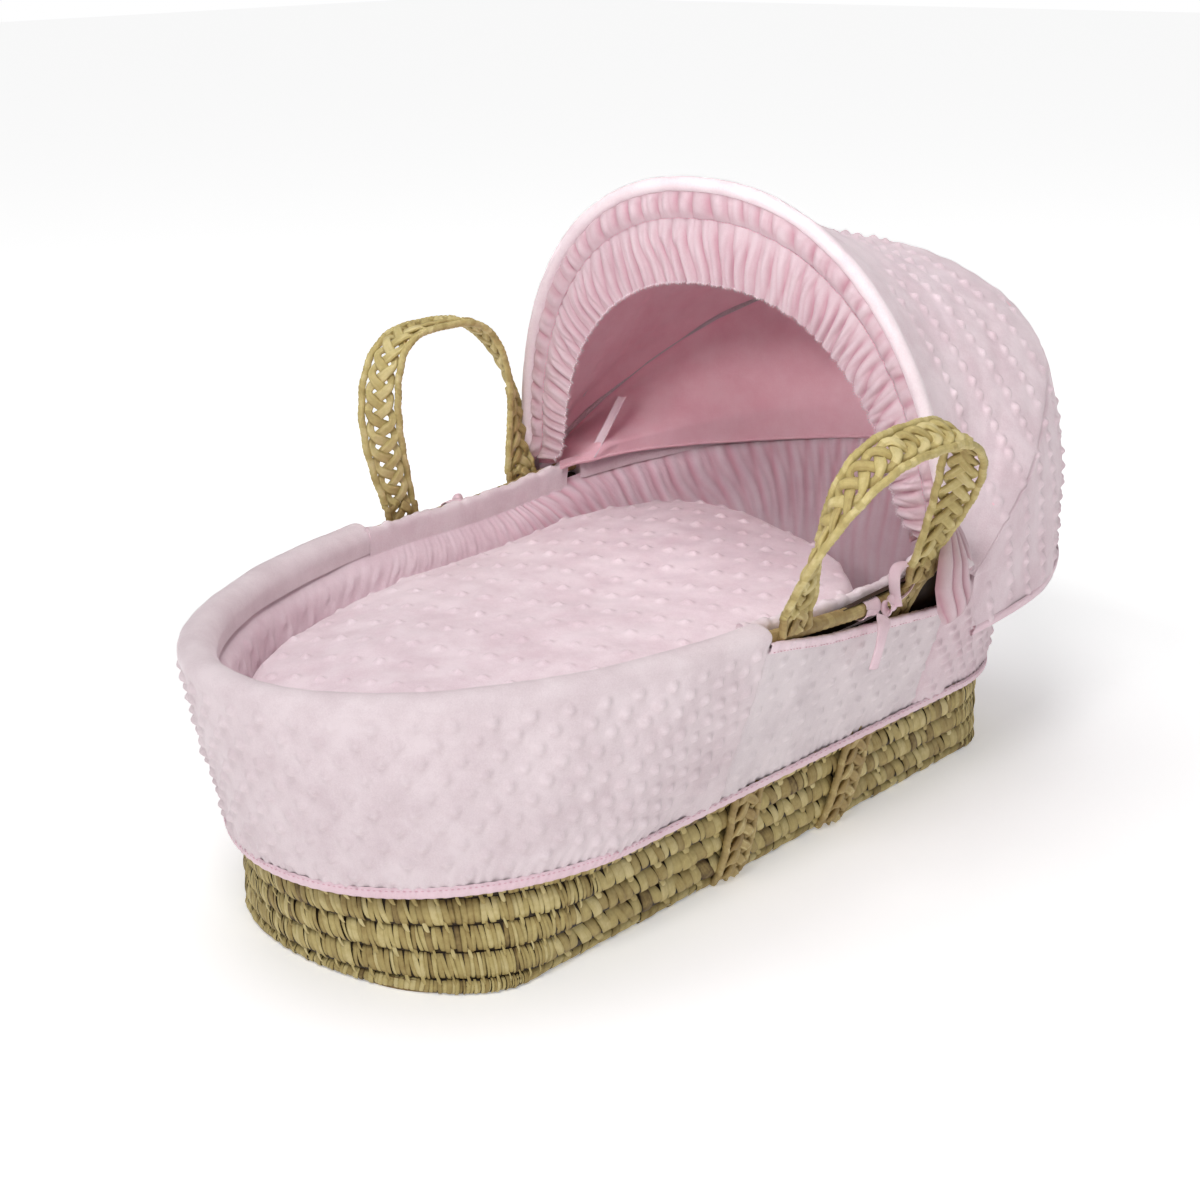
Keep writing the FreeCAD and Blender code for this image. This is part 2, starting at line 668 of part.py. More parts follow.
MID_WIDTH = size("ruffle_mid_width")
MID_REACH = size("ruffle_mid_reach")
BAND = 0.5 * size("elastic")
RUFFLE = size("ruffle_thick")
shaped("ruffle_outer_band", facing(
    size("front_width") - SLEEVE - 1.0, size("front_reach") - SLEEVE - 1.0,
    MID_WIDTH + BAND, MID_REACH + BAND, RUFFLE))
shaped("ruffle_elastic_seam", facing(
    MID_WIDTH + BAND - 0.5, MID_REACH + BAND - 0.5,
    MID_WIDTH - BAND + 0.5, MID_REACH - BAND + 0.5, 0.5 * RUFFLE))
shaped("ruffle_inner_band", facing(
    MID_WIDTH - BAND, MID_REACH - BAND,
    size("ruffle_in_width"), size("ruffle_in_reach"), RUFFLE))

# ---------------------------------------------------------------- carry handles

HANDLE_STEPS = 24


def handle_frame(side, lean):
    """Where the loop stands on the rim, its upward direction and its outward normal."""
    start = Vector(0, side * HANDLE_Y, HANDLE_Z)
    angle = math.radians(lean)
    up = Vector(0, side * math.sin(angle), math.cos(angle))
    out = Vector(0, side * math.cos(angle), -math.sin(angle))
    return start, up, out


def handle_points(side, lean):
    """The loop's middle line: square-shouldered, a little wider above than at the rim."""
    start, up = handle_frame(side, lean)[:2]
    power = size("handle_power")
    reach = size("handle_reach")
    low = math.asin((size("handle_start") / reach) ** (power / 2.0))
    points = []
    for i in range(HANDLE_STEPS + 1):
        turn = math.pi - low - (math.pi - 2 * low) * i / HANDLE_STEPS
        cosine = math.cos(turn)
        rise = math.sin(turn) ** (2.0 / power)
        wide = math.copysign(abs(cosine) ** (2.0 / power), cosine)
        swell = 1.0 + size("handle_bulge") * math.sin(math.pi * rise)
        x = HANDLE_X[side] + HANDLE_HALF[side] * wide * swell + size("handle_skew") * rise
        points.append(start + up * (reach * rise) + Vector(x, 0, 0))
    return points


def handle_width(side, lean, i):
    """The band lies flat on the wall at its ends and turns flat to the hand on top."""
    out = handle_frame(side, lean)[2]
    place = i / HANDLE_STEPS
    twist = 0.5 * math.pi * math.sin(math.pi * place) ** 0.7
    along_wall = Vector(1, 0, 0) if place < 0.5 else Vector(-1, 0, 0)
    return along_wall * -math.cos(twist) + out * math.sin(twist)


def handle_band(side, lean, shift, half_across, half_up, sides):
    """One strand of the handle, shifted across the band's width."""
    centre = handle_points(side, lean)
    last = HANDLE_STEPS
    points = []
    for i in range(last + 1):
        tangent = (centre[min(i + 1, last)] - centre[max(i - 1, 0)]).normalize()
        across = handle_width(side, lean, i)
        across = (across - tangent * across.dot(tangent)).normalize()
        points.append(centre[i] + across * shift)
    return bar(points, lambda i, t: handle_width(side, lean, i), half_across, half_up, sides)


CORD = size("cord_radius")
BAND_HALF = size("band_half")
INNER_HALF = BAND_HALF - 2 * CORD - 0.4
CORNER = math.sqrt(2.0)
for side, side_name, lean in ((-1, "near", size("near_lean")), (1, "far", size("far_lean"))):
    braid = handle_band(side, lean, 0.0, INNER_HALF * CORNER,
                        0.5 * size("band_thick") * CORNER, 4)
    shaped("handle_%s_braid" % side_name, braid)
    for shift, cord_name in ((1, "outer"), (-1, "inner")):
        cord = handle_band(side, lean, shift * (BAND_HALF - CORD), CORD, CORD, 8)
        shaped("handle_%s_%s_cord" % (side_name, cord_name), cord)

# ---------------------------------------------------------------- ribbon ties

KNOT_X = size("knot_x")
WIDE = size("ribbon_wide")
THIN = size("ribbon_thin")
COIL_Y = size("rim_width") - COIL_IN
COIL_Z = size("rim_height") - COIL_DROP + size("rim_tilt") * KNOT_X / size("rim_length")


def tie(side):
    """A ribbon wound once round the rim coil, with its knot on the outside."""
    start = Vector(KNOT_X - 0.5 * WIDE, side * COIL_Y, COIL_Z)
    along = Vector(1, 0, 0)
    wrap = Part.makeCylinder(RIM_COIL + 0.9 + THIN, WIDE, start, along)
    hole = Part.makeCylinder(RIM_COIL + 0.9, WIDE, start, along)
    knot = Part.makeSphere(6.0, Vector(KNOT_X, side * (COIL_Y + RIM_COIL + 5.0), COIL_Z - 2.0))
    room = Part.makeCylinder(RIM_COIL + 0.9, 4 * WIDE, start - along * WIDE, along)
    return wrap.cut(hole).fuse(knot.cut(room)).removeSplitter()


shaped("ribbon_tie_near", tie(-1))
shaped("ribbon_tie_far", tie(1))
TAIL_Y = -(size("rim_width") + 2.6)
tail = block(KNOT_X - 0.5 * WIDE, KNOT_X + 0.5 * WIDE, TAIL_Y - THIN, TAIL_Y,
             COIL_Z - 9.0 - size("tail_long"), COIL_Z - 9.0)
shaped("ribbon_tail_near", tail)

# ---------------------------------------------------------------- check and write

doc.recompute()
for thing in doc.Objects:
    if "Invalid" in thing.State or "Error" in thing.State:
        raise RuntimeError("failed feature: " + thing.Label)
os.makedirs("parts", exist_ok=True)
for thing in NODES:
    shape = thing.Shape
    if shape.isNull() or not shape.isValid() or not shape.Solids or shape.Volume <= 0:
        raise RuntimeError("bad shape: " + thing.Label)
    print("%-24s %2d solid %9.1f cm3" % (thing.Label, len(shape.Solids), shape.Volume / 1000.0))
    shape.exportStep("parts/" + thing.Label + ".step")
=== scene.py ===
import json
import math

import bpy
import numpy as np
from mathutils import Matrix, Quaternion, Vector
from mathutils.kdtree import KDTree


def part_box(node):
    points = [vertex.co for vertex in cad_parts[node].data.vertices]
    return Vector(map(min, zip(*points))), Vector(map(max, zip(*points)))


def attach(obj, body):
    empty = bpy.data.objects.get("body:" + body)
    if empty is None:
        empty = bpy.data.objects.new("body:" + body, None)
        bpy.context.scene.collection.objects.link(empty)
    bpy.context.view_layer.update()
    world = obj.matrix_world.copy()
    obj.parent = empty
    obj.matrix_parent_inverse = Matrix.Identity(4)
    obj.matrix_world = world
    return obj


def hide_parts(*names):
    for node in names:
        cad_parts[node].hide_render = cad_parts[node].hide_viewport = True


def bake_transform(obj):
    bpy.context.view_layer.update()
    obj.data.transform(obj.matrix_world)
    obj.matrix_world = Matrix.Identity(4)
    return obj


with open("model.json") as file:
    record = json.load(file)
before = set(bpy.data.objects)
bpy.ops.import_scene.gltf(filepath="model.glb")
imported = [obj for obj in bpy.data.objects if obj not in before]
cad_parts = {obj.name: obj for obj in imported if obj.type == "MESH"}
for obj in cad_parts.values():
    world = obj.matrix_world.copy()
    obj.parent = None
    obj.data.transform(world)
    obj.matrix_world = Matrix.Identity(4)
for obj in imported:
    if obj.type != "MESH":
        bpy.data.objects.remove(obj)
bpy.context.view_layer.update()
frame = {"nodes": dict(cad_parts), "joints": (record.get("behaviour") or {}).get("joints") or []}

# ------------------------------------------------------------------ camera

AZIMUTH = math.radians(-48.56)
ELEVATION = math.radians(18.01)
ROLL = math.radians(-0.79)
TARGET = Vector((-0.0467, 0.0, 0.1918))
DISTANCE = 1.673
SENSOR = 36.0
LENS = 64.15

back = Vector((math.sin(AZIMUTH) * math.cos(ELEVATION),
               -math.cos(AZIMUTH) * math.cos(ELEVATION), math.sin(ELEVATION)))
camera = bpy.data.objects.new("camera", bpy.data.cameras.new("camera"))
bpy.context.scene.collection.objects.link(camera)
camera.data.sensor_width = SENSOR
camera.data.lens = LENS
camera.location = TARGET + back * DISTANCE
camera.rotation_mode = "QUATERNION"
camera.rotation_quaternion = (-back).to_track_quat("-Z", "Y") @ Quaternion((0, 0, 1), ROLL)
bpy.context.scene.camera = camera

# ------------------------------------------------------------------ small tools


def waves(seed, scale, count=10):
    """A smooth random field: seeded sine waves of about that wavelength, from -1 to 1."""
    rng = np.random.default_rng(seed)
    way = rng.normal(size=(count, 3))
    way /= np.linalg.norm(way, axis=1)[:, None]
    way *= 2 * np.pi / scale * rng.uniform(0.6, 1.5, (count, 1))
    start = rng.uniform(0, 2 * np.pi, count)
    return lambda p: np.sin(p @ way.T + start).sum(-1) / math.sqrt(2.0 * count)


def smooth(x):
    x = np.clip(x, 0.0, 1.0)
    return x * x * (3 - 2 * x)


def unit(v):
    return v / np.maximum(np.linalg.norm(v, axis=-1, keepdims=True), 1e-12)


def stacked(*parts):
    """Points from their x, y and z (or pairs from u and v), each spread to the same grid."""
    return np.stack(np.broadcast_arrays(*parts), -1)


def lengths(points):
    return np.concatenate([[0], np.cumsum(np.linalg.norm(np.diff(points, axis=0), axis=1))])


def evened(points, count):
    """The same line with its points evenly spaced."""
    along = lengths(points)
    return picked(np.linspace(0, along[-1], count), along, points)


def picked(at, along, points):
    """The points of a line at some lengths along it."""
    return np.stack([np.interp(at, along, column) for column in points.T], 1)


def softened(grid, times):
    """Takes the kinks out of a line, or of a grid along its rows, with its ends kept."""
    for _ in range(times):
        grid[1:-1] = 0.25 * grid[:-2] + 0.5 * grid[1:-1] + 0.25 * grid[2:]
    return grid


def squared(across, tangent):
    """Unit directions across a line, made square to it."""
    return unit(across - tangent * (across * tangent).sum(1)[:, None])


def rails(line):
    """Directions along a line, level across it, and square to both."""
    way = unit(np.gradient(line, axis=0))
    level = unit(np.cross(way, [0, 0, 1.0]))
    return way, level, np.cross(way, level)


def normals(grid, closed=False):
    """Unit normals of a grid of points."""
    if closed:
        du = np.roll(grid, -1, 0) - np.roll(grid, 1, 0)
    else:
        du = np.gradient(grid, axis=0)
    return unit(np.cross(du, np.gradient(grid, axis=1)))


def grid_faces(rows, columns, closed_rows=False, closed_columns=False, start=0):
    i = np.arange(rows if closed_rows else rows - 1)
    j = np.arange(columns if closed_columns else columns - 1)
    i, j = (a.ravel() for a in np.meshgrid(i, j, indexing="ij"))
    i2, j2 = (i + 1) % rows, (j + 1) % columns
    return start + np.stack([i * columns + j, i2 * columns + j, i2 * columns + j2, i * columns + j2],
                            axis=1)


def piece(name, parts, material, body="basket", replaces=()):
    """One object from parts: (points, faces, tone at the points, uv at the points)."""
    points, faces, tones, uvs, start = [], [], [], [], 0
    for p, f, t, uv in parts:
        p = p.reshape(-1, 3)
        points.append(p)
        faces.append(f + start)
        tones.append(np.broadcast_to(np.asarray(t, float).ravel() if np.ndim(t) else t, len(p)))
        uvs.append(np.zeros((len(p), 2)) if uv is None else uv.reshape(-1, 2))
        start += len(p)
    points, faces = np.concatenate(points), np.concatenate(faces)
    mesh = bpy.data.meshes.new(name)
    mesh.from_pydata(points.tolist(), [], faces.tolist())
    mesh.polygons.foreach_set("use_smooth", np.ones(len(faces), bool))
    tone = mesh.attributes.new("tone", "FLOAT", "POINT")
    tone.data.foreach_set("value", np.concatenate(tones).astype(np.float32))
    layer = mesh.uv_layers.new(name="UVMap")
    layer.data.foreach_set("uv", np.concatenate(uvs)[faces.ravel()].astype(np.float32).ravel())
    mesh.materials.append(material)
    mesh.update()
    thing = bpy.data.objects.new(name, mesh)
    bpy.context.scene.collection.objects.link(thing)
    if body:
        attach(thing, body)
    if replaces:
        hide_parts(*replaces)
    return thing


def sheet_part(grid, flip=False, closed=False, tone=0.5):
    faces = grid_faces(*grid.shape[:2], closed)
    return grid, faces[:, ::-1] if flip else faces, tone, None


def lifted(grid, normal, lift):
    return grid + normal * lift[..., None]


def outline(*points):
    """A tape's cross-section, given in millimetres: how far out and how high each point is."""
    return np.array(points).T[:, None] * 0.001


def patches(grid, count):
    """Faces of many equal small grids."""
    faces = grid_faces(*grid.shape[1:3])
    return (faces + (np.arange(count) * grid.shape[1] * grid.shape[2])[:, None, None]).reshape(-1, 4)


def tree_of(points):
    tree = KDTree(len(points))
    for number, point in enumerate(points):
        tree.insert(point, number)
    tree.balance()
    return tree


def dots(grid, centres, radius, height, seed):
    """How far raised dots stand out of a grid of points."""
    tree = tree_of(centres)
    found = [tree.find(p)[1:] for p in grid.reshape(-1, 3)]
    index, away = (np.array(x).reshape(grid.shape[:-1]) for x in zip(*found))
    rng = np.random.default_rng(seed)
    high = rng.uniform(0.75, 1.15, len(centres))[index]
    wide = radius * rng.uniform(0.88, 1.1, len(centres))[index]
    return height * high * np.maximum(0, 1 - (away / wide) ** 2) ** 1.5


TIP = 0.05  # how wide a rod's closed end is, as a part of the rod


def ring_points(sides):
    angle = 2 * np.pi * np.arange(sides) / sides
    return np.cos(angle), np.sin(angle)


def tube(line, across, normal, wide, thick, sides=10, wrap=0.0, pitch=0.006, closed=False):
    """A rod of oval section along a line; wrap gives it the steps of a wound leaf."""
    count = len(line)
    along = lengths(line)
    cosine, sine = ring_points(sides)
    turn = along[:, None] / pitch + np.arange(sides)[None] / sides
    swell = 1 + wrap * ((turn % 1.0) - 0.5)
    wide = np.broadcast_to(wide, count)[:, None] * cosine * swell
    thick = np.broadcast_to(thick, count)[:, None] * sine * swell
    if not closed:
        wide[[0, -1]] *= TIP
        thick[[0, -1]] *= TIP
    grid = (line[:, None] + across[:, None] * wide[..., None] + normal[:, None] * thick[..., None])
    tone = 0.5
    if wrap:
        number = np.floor(turn).astype(int)
        tone = np.random.default_rng(count).uniform(0.2, 0.95, number.max() + 2)[number]
    uv = stacked(np.arange(sides)[None] / sides * 3, along[:, None] / 0.03)
    return grid, grid_faces(count, sides, closed, True), tone, uv


# ------------------------------------------------------------------ the wall's plan, as in the CAD

SIDES = ((-1, "near"), (1, "far"))
HALF = (0.357, 0.420)
SIDE = (0.280, 0.070)
WIDTH = (0.136, 0.220)
RIM = (0.236, 0.009, 0.017)
HEM = (0.082, -0.012, -0.005)
TABLE_LEVEL = 0.6
ROLL_RADIUS = 0.0145
SEAM_FOOT, SEAM_HEAD = -0.111, 0.143


def mix(pair, k):
    return pair[0] + (pair[1] - pair[0]) * k


def plan_table():
    ends = [np.linspace(a, b, 400) * np.pi for a, b in ((1.0, 1.5), (-0.5, 0.5), (0.5, 1.0))]
    side = np.linspace(-1, 1, 200)[1:-1]
    cosine = np.concatenate([np.cos(ends[0]), 0 * side, np.cos(ends[1]), 0 * side, np.cos(ends[2])])
    sine = np.concatenate([np.sin(ends[0]), 0 * side - 1, np.sin(ends[1]), 0 * side + 1,
                           np.sin(ends[2])])
    along = np.concatenate([0 * ends[0] - 1, side, 0 * ends[1] + 1, -side, 0 * ends[2] - 1])
    x = mix(SIDE, TABLE_LEVEL) * along + (mix(HALF, TABLE_LEVEL) - mix(SIDE, TABLE_LEVEL)) * cosine
    y = mix(WIDTH, TABLE_LEVEL) * sine
    return lengths(np.stack([x, y, 0 * x], 1)), cosine, sine, along


TABLE = plan_table()
ROUND = TABLE[0][-1]


def plan(s, level, out):
    """x and y of the wall at a distance s round it from the foot, by way of the near side."""
    cosine, sine, along = (np.interp(s % ROUND, TABLE[0], column) for column in TABLE[1:])
    side = mix(SIDE, level)
    return side * along + (mix(HALF, level) - side + out) * cosine, (mix(WIDTH, level) + out) * sine


def bent(numbers, u):
    return numbers[0] + numbers[1] * u * u + numbers[2] * u


def place_u(s):
    return plan(s, 1.0, 0.0)[0] / HALF[1]


def wall(s, z, out, level=None):
    if level is None:
        level = z / bent(RIM, place_u(s))
    out = out(level) if callable(out) else out
    x, y = plan(s, level, out)
    return stacked(x, y, z)


def wall_at(x, z, out, side, level=None):
    """The wall's point at a place x and a height z, on one long side."""
    if level is None:
        level = np.minimum(z / bent(RIM, x / HALF[1]), 1.0)
    out = out(level) if callable(out) else out
    past = np.maximum(0, np.abs(x) - mix(SIDE, level)) / (mix(HALF, level) - mix(SIDE, level) + out)
    y = side * (mix(WIDTH, level) + out) * np.sqrt(np.maximum(0, 1 - past * past))
    return stacked(x, y, z)


def weave_out(level):
    return -0.018 * level


def cloth_out(level):
    return 0.002 * (1 - level)


# ------------------------------------------------------------------ materials


def nodes_of(name):
    material = bpy.data.materials.new(name)
    material.use_nodes = True
    tree = material.node_tree
    return material, tree, tree.nodes["Principled BSDF"].inputs


def add(tree, kind, links=(), **inputs):
    """A node with its values and its links: (output, input) for each."""
    node = tree.nodes.new("ShaderNode" + kind)
    for key, value in inputs.items():
        if key in ("Scale", "Detail", "Roughness", "Distortion", "Strength", "Distance", "Color"):
            node.inputs[key].default_value = value
        else:
            setattr(node, key, value)
    for output, name in links:
        tree.links.new(output, node.inputs[name])
    return node


def noise(tree, vector, scale, detail=2.0, roughness=0.5):
    return add(tree, "TexNoise", [(vector, "Vector")], Scale=scale, Detail=detail,
               Roughness=roughness).outputs["Fac"]


def bump(tree, height, strength, distance, under=None):
    links = [(height, "Height")] + ([(under, "Normal")] if under else [])
    return add(tree, "Bump", links, Strength=strength, Distance=distance).outputs["Normal"]


def scaled_sum(tree, value, scale, other):
    node = add(tree, "Math", [(value, 0), (other, 2)], operation="MULTIPLY_ADD")
    node.inputs[1].default_value = scale
    return node.outputs[0]


def ramp(tree, source, stops):
    node = add(tree, "ValToRGB", [(source, "Fac")])
    while len(node.color_ramp.elements) < len(stops):
        node.color_ramp.elements.new(0.5)
    for element, (place, colour) in zip(node.color_ramp.elements, stops):
        element.position = place
        element.color = (*colour, 1)
    return node.outputs["Color"]


def linear(r, g, b):
    """A colour as it is seen, from 0 to 255, in the shader's own numbers."""
    return tuple(((c / 255 + 0.055) / 1.055) ** 2.4 if c > 10 else c / 3295 for c in (r, g, b))


def cloth(name, light, dark, pile=900.0, rough=0.9, sheen=0.5, lumps=0.25, weave=False, deep=None):
    """Cloth: colour that varies a little, a fine pile or weave, painted shade in folds (the deep colour,
    where the tone attribute is low), a soft sheen.
    """
    material, tree, shader = nodes_of(name)
    place = add(tree, "TexCoord").outputs["Object"]
    patch = noise(tree, place, 28.0, 4.0, 0.6)
    fine = noise(tree, place, pile, 2.0, 0.7)
    mixed = scaled_sum(tree, fine, 0.45, patch)
    colour = ramp(tree, mixed, ((0.50, linear(*dark)), (0.86, linear(*light))))
    # painted shade: below a tone of 0.5 the deep colour is mixed in, darkening the fold valleys
    if deep:
        tone = add(tree, "Attribute", attribute_name="tone").outputs["Fac"]
        fold_shade_amount = ramp(tree, tone, ((0.0, (1, 1, 1)), (0.5, (0, 0, 0))))
        fold = add(tree, "Mix", data_type="RGBA")
        tree.links.new(fold_shade_amount, fold.inputs["Factor"])
        tree.links.new(colour, fold.inputs[6])
        fold.inputs[7].default_value = (*linear(*deep), 1)
        colour = fold.outputs[2]
    tree.links.new(colour, shader["Base Color"])
    normal = bump(tree, fine, 0.35, 0.0006)
    if weave:
        thread = add(tree, "TexWave", [(place, "Vector")], Scale=420.0, Distortion=0.6)
        normal = bump(tree, thread.outputs["Fac"], 0.25, 0.0003, normal)
    normal = bump(tree, noise(tree, place, 130.0, 3.0), lumps, 0.0015, normal)
    tree.links.new(normal, shader["Normal"])
    shader["Roughness"].default_value = rough
    shader["Sheen Weight"].default_value = sheen
    shader["Sheen Roughness"].default_value = 0.4
    shader["Sheen Tint"].default_value = (1.0, 0.93, 0.95, 1)
    shader["Specular IOR Level"].default_value = 0.25
    return material


def leaf(name, *stops):
    """Dry palm leaf: each strip has its own tone, with streaks along it and darker blotches."""
    material, tree, shader = nodes_of(name)
    place = add(tree, "TexCoord")
    tone = add(tree, "Attribute", attribute_name="tone").outputs["Fac"]
    stretch = add(tree, "Mapping", [(place.outputs["UV"], "Vector")], Scale=(14.0, 1.2, 1.0))
    lines = noise(tree, stretch.outputs[0], 1.0, 4.0, 0.65)
    blotch = noise(tree, place.outputs["Object"], 170.0, 3.0, 0.6)
    mixed = scaled_sum(tree, blotch, 0.5, scaled_sum(tree, lines, 0.35, tone))
    colour = ramp(tree, mixed, [(at, linear(*colour)) for at, colour in stops])
    tree.links.new(colour, shader["Base Color"])
    normal = bump(tree, blotch, 0.3, 0.0005, bump(tree, lines, 0.6, 0.0005))
    tree.links.new(normal, shader["Normal"])
    shader["Roughness"].default_value = 0.6
    shader["Specular IOR Level"].default_value = 0.4
    return material


PLUSH = cloth("plush", (232, 217, 221), (216, 198, 203))
# painted light: a lighter copy of the plush for the coverlet, whose top faces the lamps
PLUSH_LIT_TOP = cloth("plush_coverlet_lit", (242, 224, 230), (226, 202, 210))
PLUSH_FLAP = cloth("plush_flap", (232, 220, 223), (216, 203, 207))
# painted shade: a darker, pinker copy of the plush for the head panel and the hood, standing in for their
# shade
PLUSH_SHADED = cloth("plush_hood_shaded", (234, 215, 221), (217, 191, 199))
ROLL_CLOTH = cloth("plush_roll", (240, 226, 230), (228, 208, 214), pile=700.0)
LINING = cloth("lining", (250, 208, 217), (243, 190, 202), 1200.0, 0.75, 0.3, weave=True)
# painted shade: the liner's deep colour, mixed in along its fold valleys
LINER = cloth("liner", (238, 218, 225), (226, 200, 209), 1100.0, 0.8, 0.4, deep=(214, 140, 162))
# painted shade: the ruffle's deep colour, mixed in along its fold valleys
FRILL = cloth("ruffle", (214, 192, 198), (204, 176, 184), 1000.0, 0.8, 0.3, deep=(190, 136, 150))
SATIN = cloth("satin", (240, 212, 221), (232, 198, 209), 1500.0, 0.45, 0.2, 0.1, weave=True)
TAPE = cloth("slot_tape", (243, 222, 229), (236, 208, 217), 1500.0, 0.5, 0.2, 0.1, weave=True)
THREAD = cloth("thread", (226, 176, 191), (210, 156, 173), pile=2500.0, rough=0.7)
SHEETING = cloth("mattress_cover", (248, 246, 244), (236, 232, 232), pile=1200.0, weave=True)
STRAW = leaf("palm_leaf", (0.20, (88, 66, 34)), (0.48, (158, 136, 82)), (0.80, (192, 174, 114)),
             (1.10, (212, 196, 142)))
# painted shade: a darker copy of the palm leaf colours, for the floor, the rim coil and the straps
STRAW_SHADED = leaf("palm_leaf_shaded", (0.25, (84, 62, 34)), (0.55, (150, 124, 78)),
                   (0.95, (188, 166, 112)), (1.2, (205, 188, 136)))
# painted shade: a near-black leaf colour for the cores behind the wraps, seen only in the gaps
STRAW_GAP_SHADE = leaf("palm_leaf_gap_shade", (0.3, (38, 26, 12)), (0.6, (62, 46, 24)), (1.1, (96, 76, 44)))
METAL, tree, shader = nodes_of("wire")
grey = add(tree, "TexNoise", Scale=300.0).outputs["Fac"]
tree.links.new(ramp(tree, grey, ((0.3, (0.5, 0.5, 0.5)), (0.7, (0.7, 0.7, 0.7)))), shader["Base Color"])
shader["Metallic"].default_value = 1.0
shader["Roughness"].default_value = 0.35


def dress(material, *names):
    for name in names:
        thing = frame["nodes"][name]
        if not thing.data.materials:
            thing.data.materials.append(material)
        for one in thing.material_slots:
            one.material = material


# the cores behind the leaf wraps get the painted gap shade
dress(STRAW_GAP_SHADE, "base_coil", *("braid_course_%d" % k for k in (1, 2, 3, 4)), "upper_wall")
dress(STRAW_SHADED, "basket_floor")
dress(METAL, "hood_front_bow", "hood_rear_bow", "hood_hinge_near", "hood_hinge_far")

# ------------------------------------------------------------------ woven courses

COIL = 0.0052
COURSE = 0.0205
COURSE_DEEP = 0.0045
LEAF_ROWS, LEAF_COLUMNS = 9, 5


def leaves(centre_z, centre_out, level, deep, high, wide, slant, spans, seed, bulge):
    """A course's leaf wraps: narrow strips laid over its round front, side by side."""
    rng = np.random.default_rng(seed)
    steps = rng.uniform(0.75, 1.35, int(ROUND / wide))
    steps *= ROUND / steps.sum()
    middle = (np.cumsum(steps) - 0.5 * steps)[:, None, None]
    half = (0.5 * steps * rng.uniform(0.93, 1.12, len(steps)))[:, None, None]
    lean = (slant * rng.uniform(0.4, 1.6, len(steps)) + rng.normal(0, 0.0006, len(steps)))[:, None, None]
    lift = rng.uniform(0.0, 0.0011, len(steps))[:, None, None]
    tip = rng.normal(0, 0.00035, len(steps))[:, None, None]
    tone = rng.uniform(0.12, 0.58, len(steps))
    tone[rng.random(len(steps)) < 0.14] -= 0.22
    v = np.linspace(1, -1, LEAF_ROWS)[None, :, None]
    u = np.linspace(-1, 1, LEAF_COLUMNS)[None, None, :]
    group = 0.021
    saw = ((middle + 0.3 * group * (seed % 3)) / group) % 1.0
    top, bottom = spans
    lower = bottom * (1.0 - 0.42 * (1 - saw) ** 1.3 * rng.uniform(0.7, 1.2, len(steps))[:, None, None])
    angle = np.where(v > 0, v * top, -v * lower)
    narrow = 1 - 0.22 * np.abs(v) ** 3
    s = middle + half * narrow * u - lean * np.sin(angle)
    straight = smooth(2.5 * (1 - np.abs(np.interp(middle % ROUND, TABLE[0], TABLE[3]))))
    strand = np.abs(np.sin(np.pi * (s / group + 0.35 * (seed % 5)))) ** 0.7
    rope = bulge * (0.25 + 0.75 * straight) * strand
    crown = 0.00055 * (1 - u * u) - 0.0002 * np.abs(v) ** 4
    out = deep + 0.0003 + lift + tip * u + crown + rope
    x, y = plan(s, level, centre_out + out * np.cos(angle))
    z = np.maximum(centre_z + (high + lift) * np.sin(angle), 0.0004)
    grid = stacked(x, y, z)
    uv = stacked(u * 0.5 + middle * 90, v * 0.6 + middle * 37)
    # each strip's own random tone, with painted shade towards its ends and sides, where the strips tuck
    # under and meet
    tones = np.broadcast_to(tone[:, None, None], grid.shape[:3]) - 0.20 * np.abs(v) ** 3 - 0.14 * u ** 4
    return grid, patches(grid, len(steps)), tones, uv


def stitches_between(z, out, level, seed):
    """The leaf stitches that hold two courses together."""
    rng = np.random.default_rng(seed)
    count = int(ROUND / 0.021)
    middle = ((np.arange(count) + 0.3 * (seed % 3)) * ROUND / count + rng.normal(0, 0.0012, count))
    v = np.linspace(1, -1, 5)[None, :, None]
    u = np.linspace(-1, 1, 4)[None, None, :]
    half = rng.uniform(0.0014, 0.0026, count)[:, None, None]
    s = middle[:, None, None] + half * u * (1 - 0.3 * v * v) - 0.0022 * v
    bow = out + 0.0040 + 0.0016 * (1 - v * v) + 0.0006 * (1 - u * u)
    x, y = plan(s, level, bow)
    grid = stacked(x, y, z + 0.0044 * v)
    tone = np.broadcast_to(rng.uniform(0.15, 0.6, count)[:, None, None], grid.shape[:3])
    uv = stacked(u * 0.5 + 9 * s, v * 0.5 + 7 * s)
    return grid, patches(grid, count), tone, uv


for number in range(1, 5):
    height = 2 * COIL + COURSE * (number - 0.5)
    k = height / RIM[0]
    rows = leaves(height, weave_out(k) - COURSE_DEEP, k, COURSE_DEEP, 0.0103, 0.0058, 0.0030,
                  (1.15, -1.12), 20 + number, 0.0022)
    piece("leaf_wraps_%d" % number, [rows], STRAW)
    edge = 2 * COIL + COURSE * (number - 1)
    k = edge / RIM[0]
    piece("course_stitches_%d" % number,
          [stitches_between(edge, weave_out(k) - COURSE_DEEP, k, 40 + number)], STRAW)

bottom_wraps = leaves(COIL - 0.0004, -COIL, 0.0, COIL, COIL, 0.0062, -0.0016, (1.3, -1.15), 11,
                      0.0008)
piece("base_coil_wraps", [bottom_wraps], STRAW)

# ------------------------------------------------------------------ rim coil

COIL_IN, COIL_DROP, COIL_THICK = 0.016, 0.0105, 0.0055


SAG_X = (-0.125, -0.090, -0.026, 0.013, 0.060, 0.100, 0.150)
SAG = {-1: (0.0, 0.005, 0.0115, 0.016, 0.018, 0.013, 0.0),
       1: (0.0, 0.002, 0.004, 0.005, 0.005, 0.003, 0.0)}


def coil_sag(x, side):
    """The rim hangs lower where the skirt is open for a handle, most where a ribbon pulls it."""
    eased = [np.interp(x + shift, SAG_X, SAG[side]) for shift in (-0.02, -0.01, 0.0, 0.01, 0.02)]
    return sum(eased) / 5.0


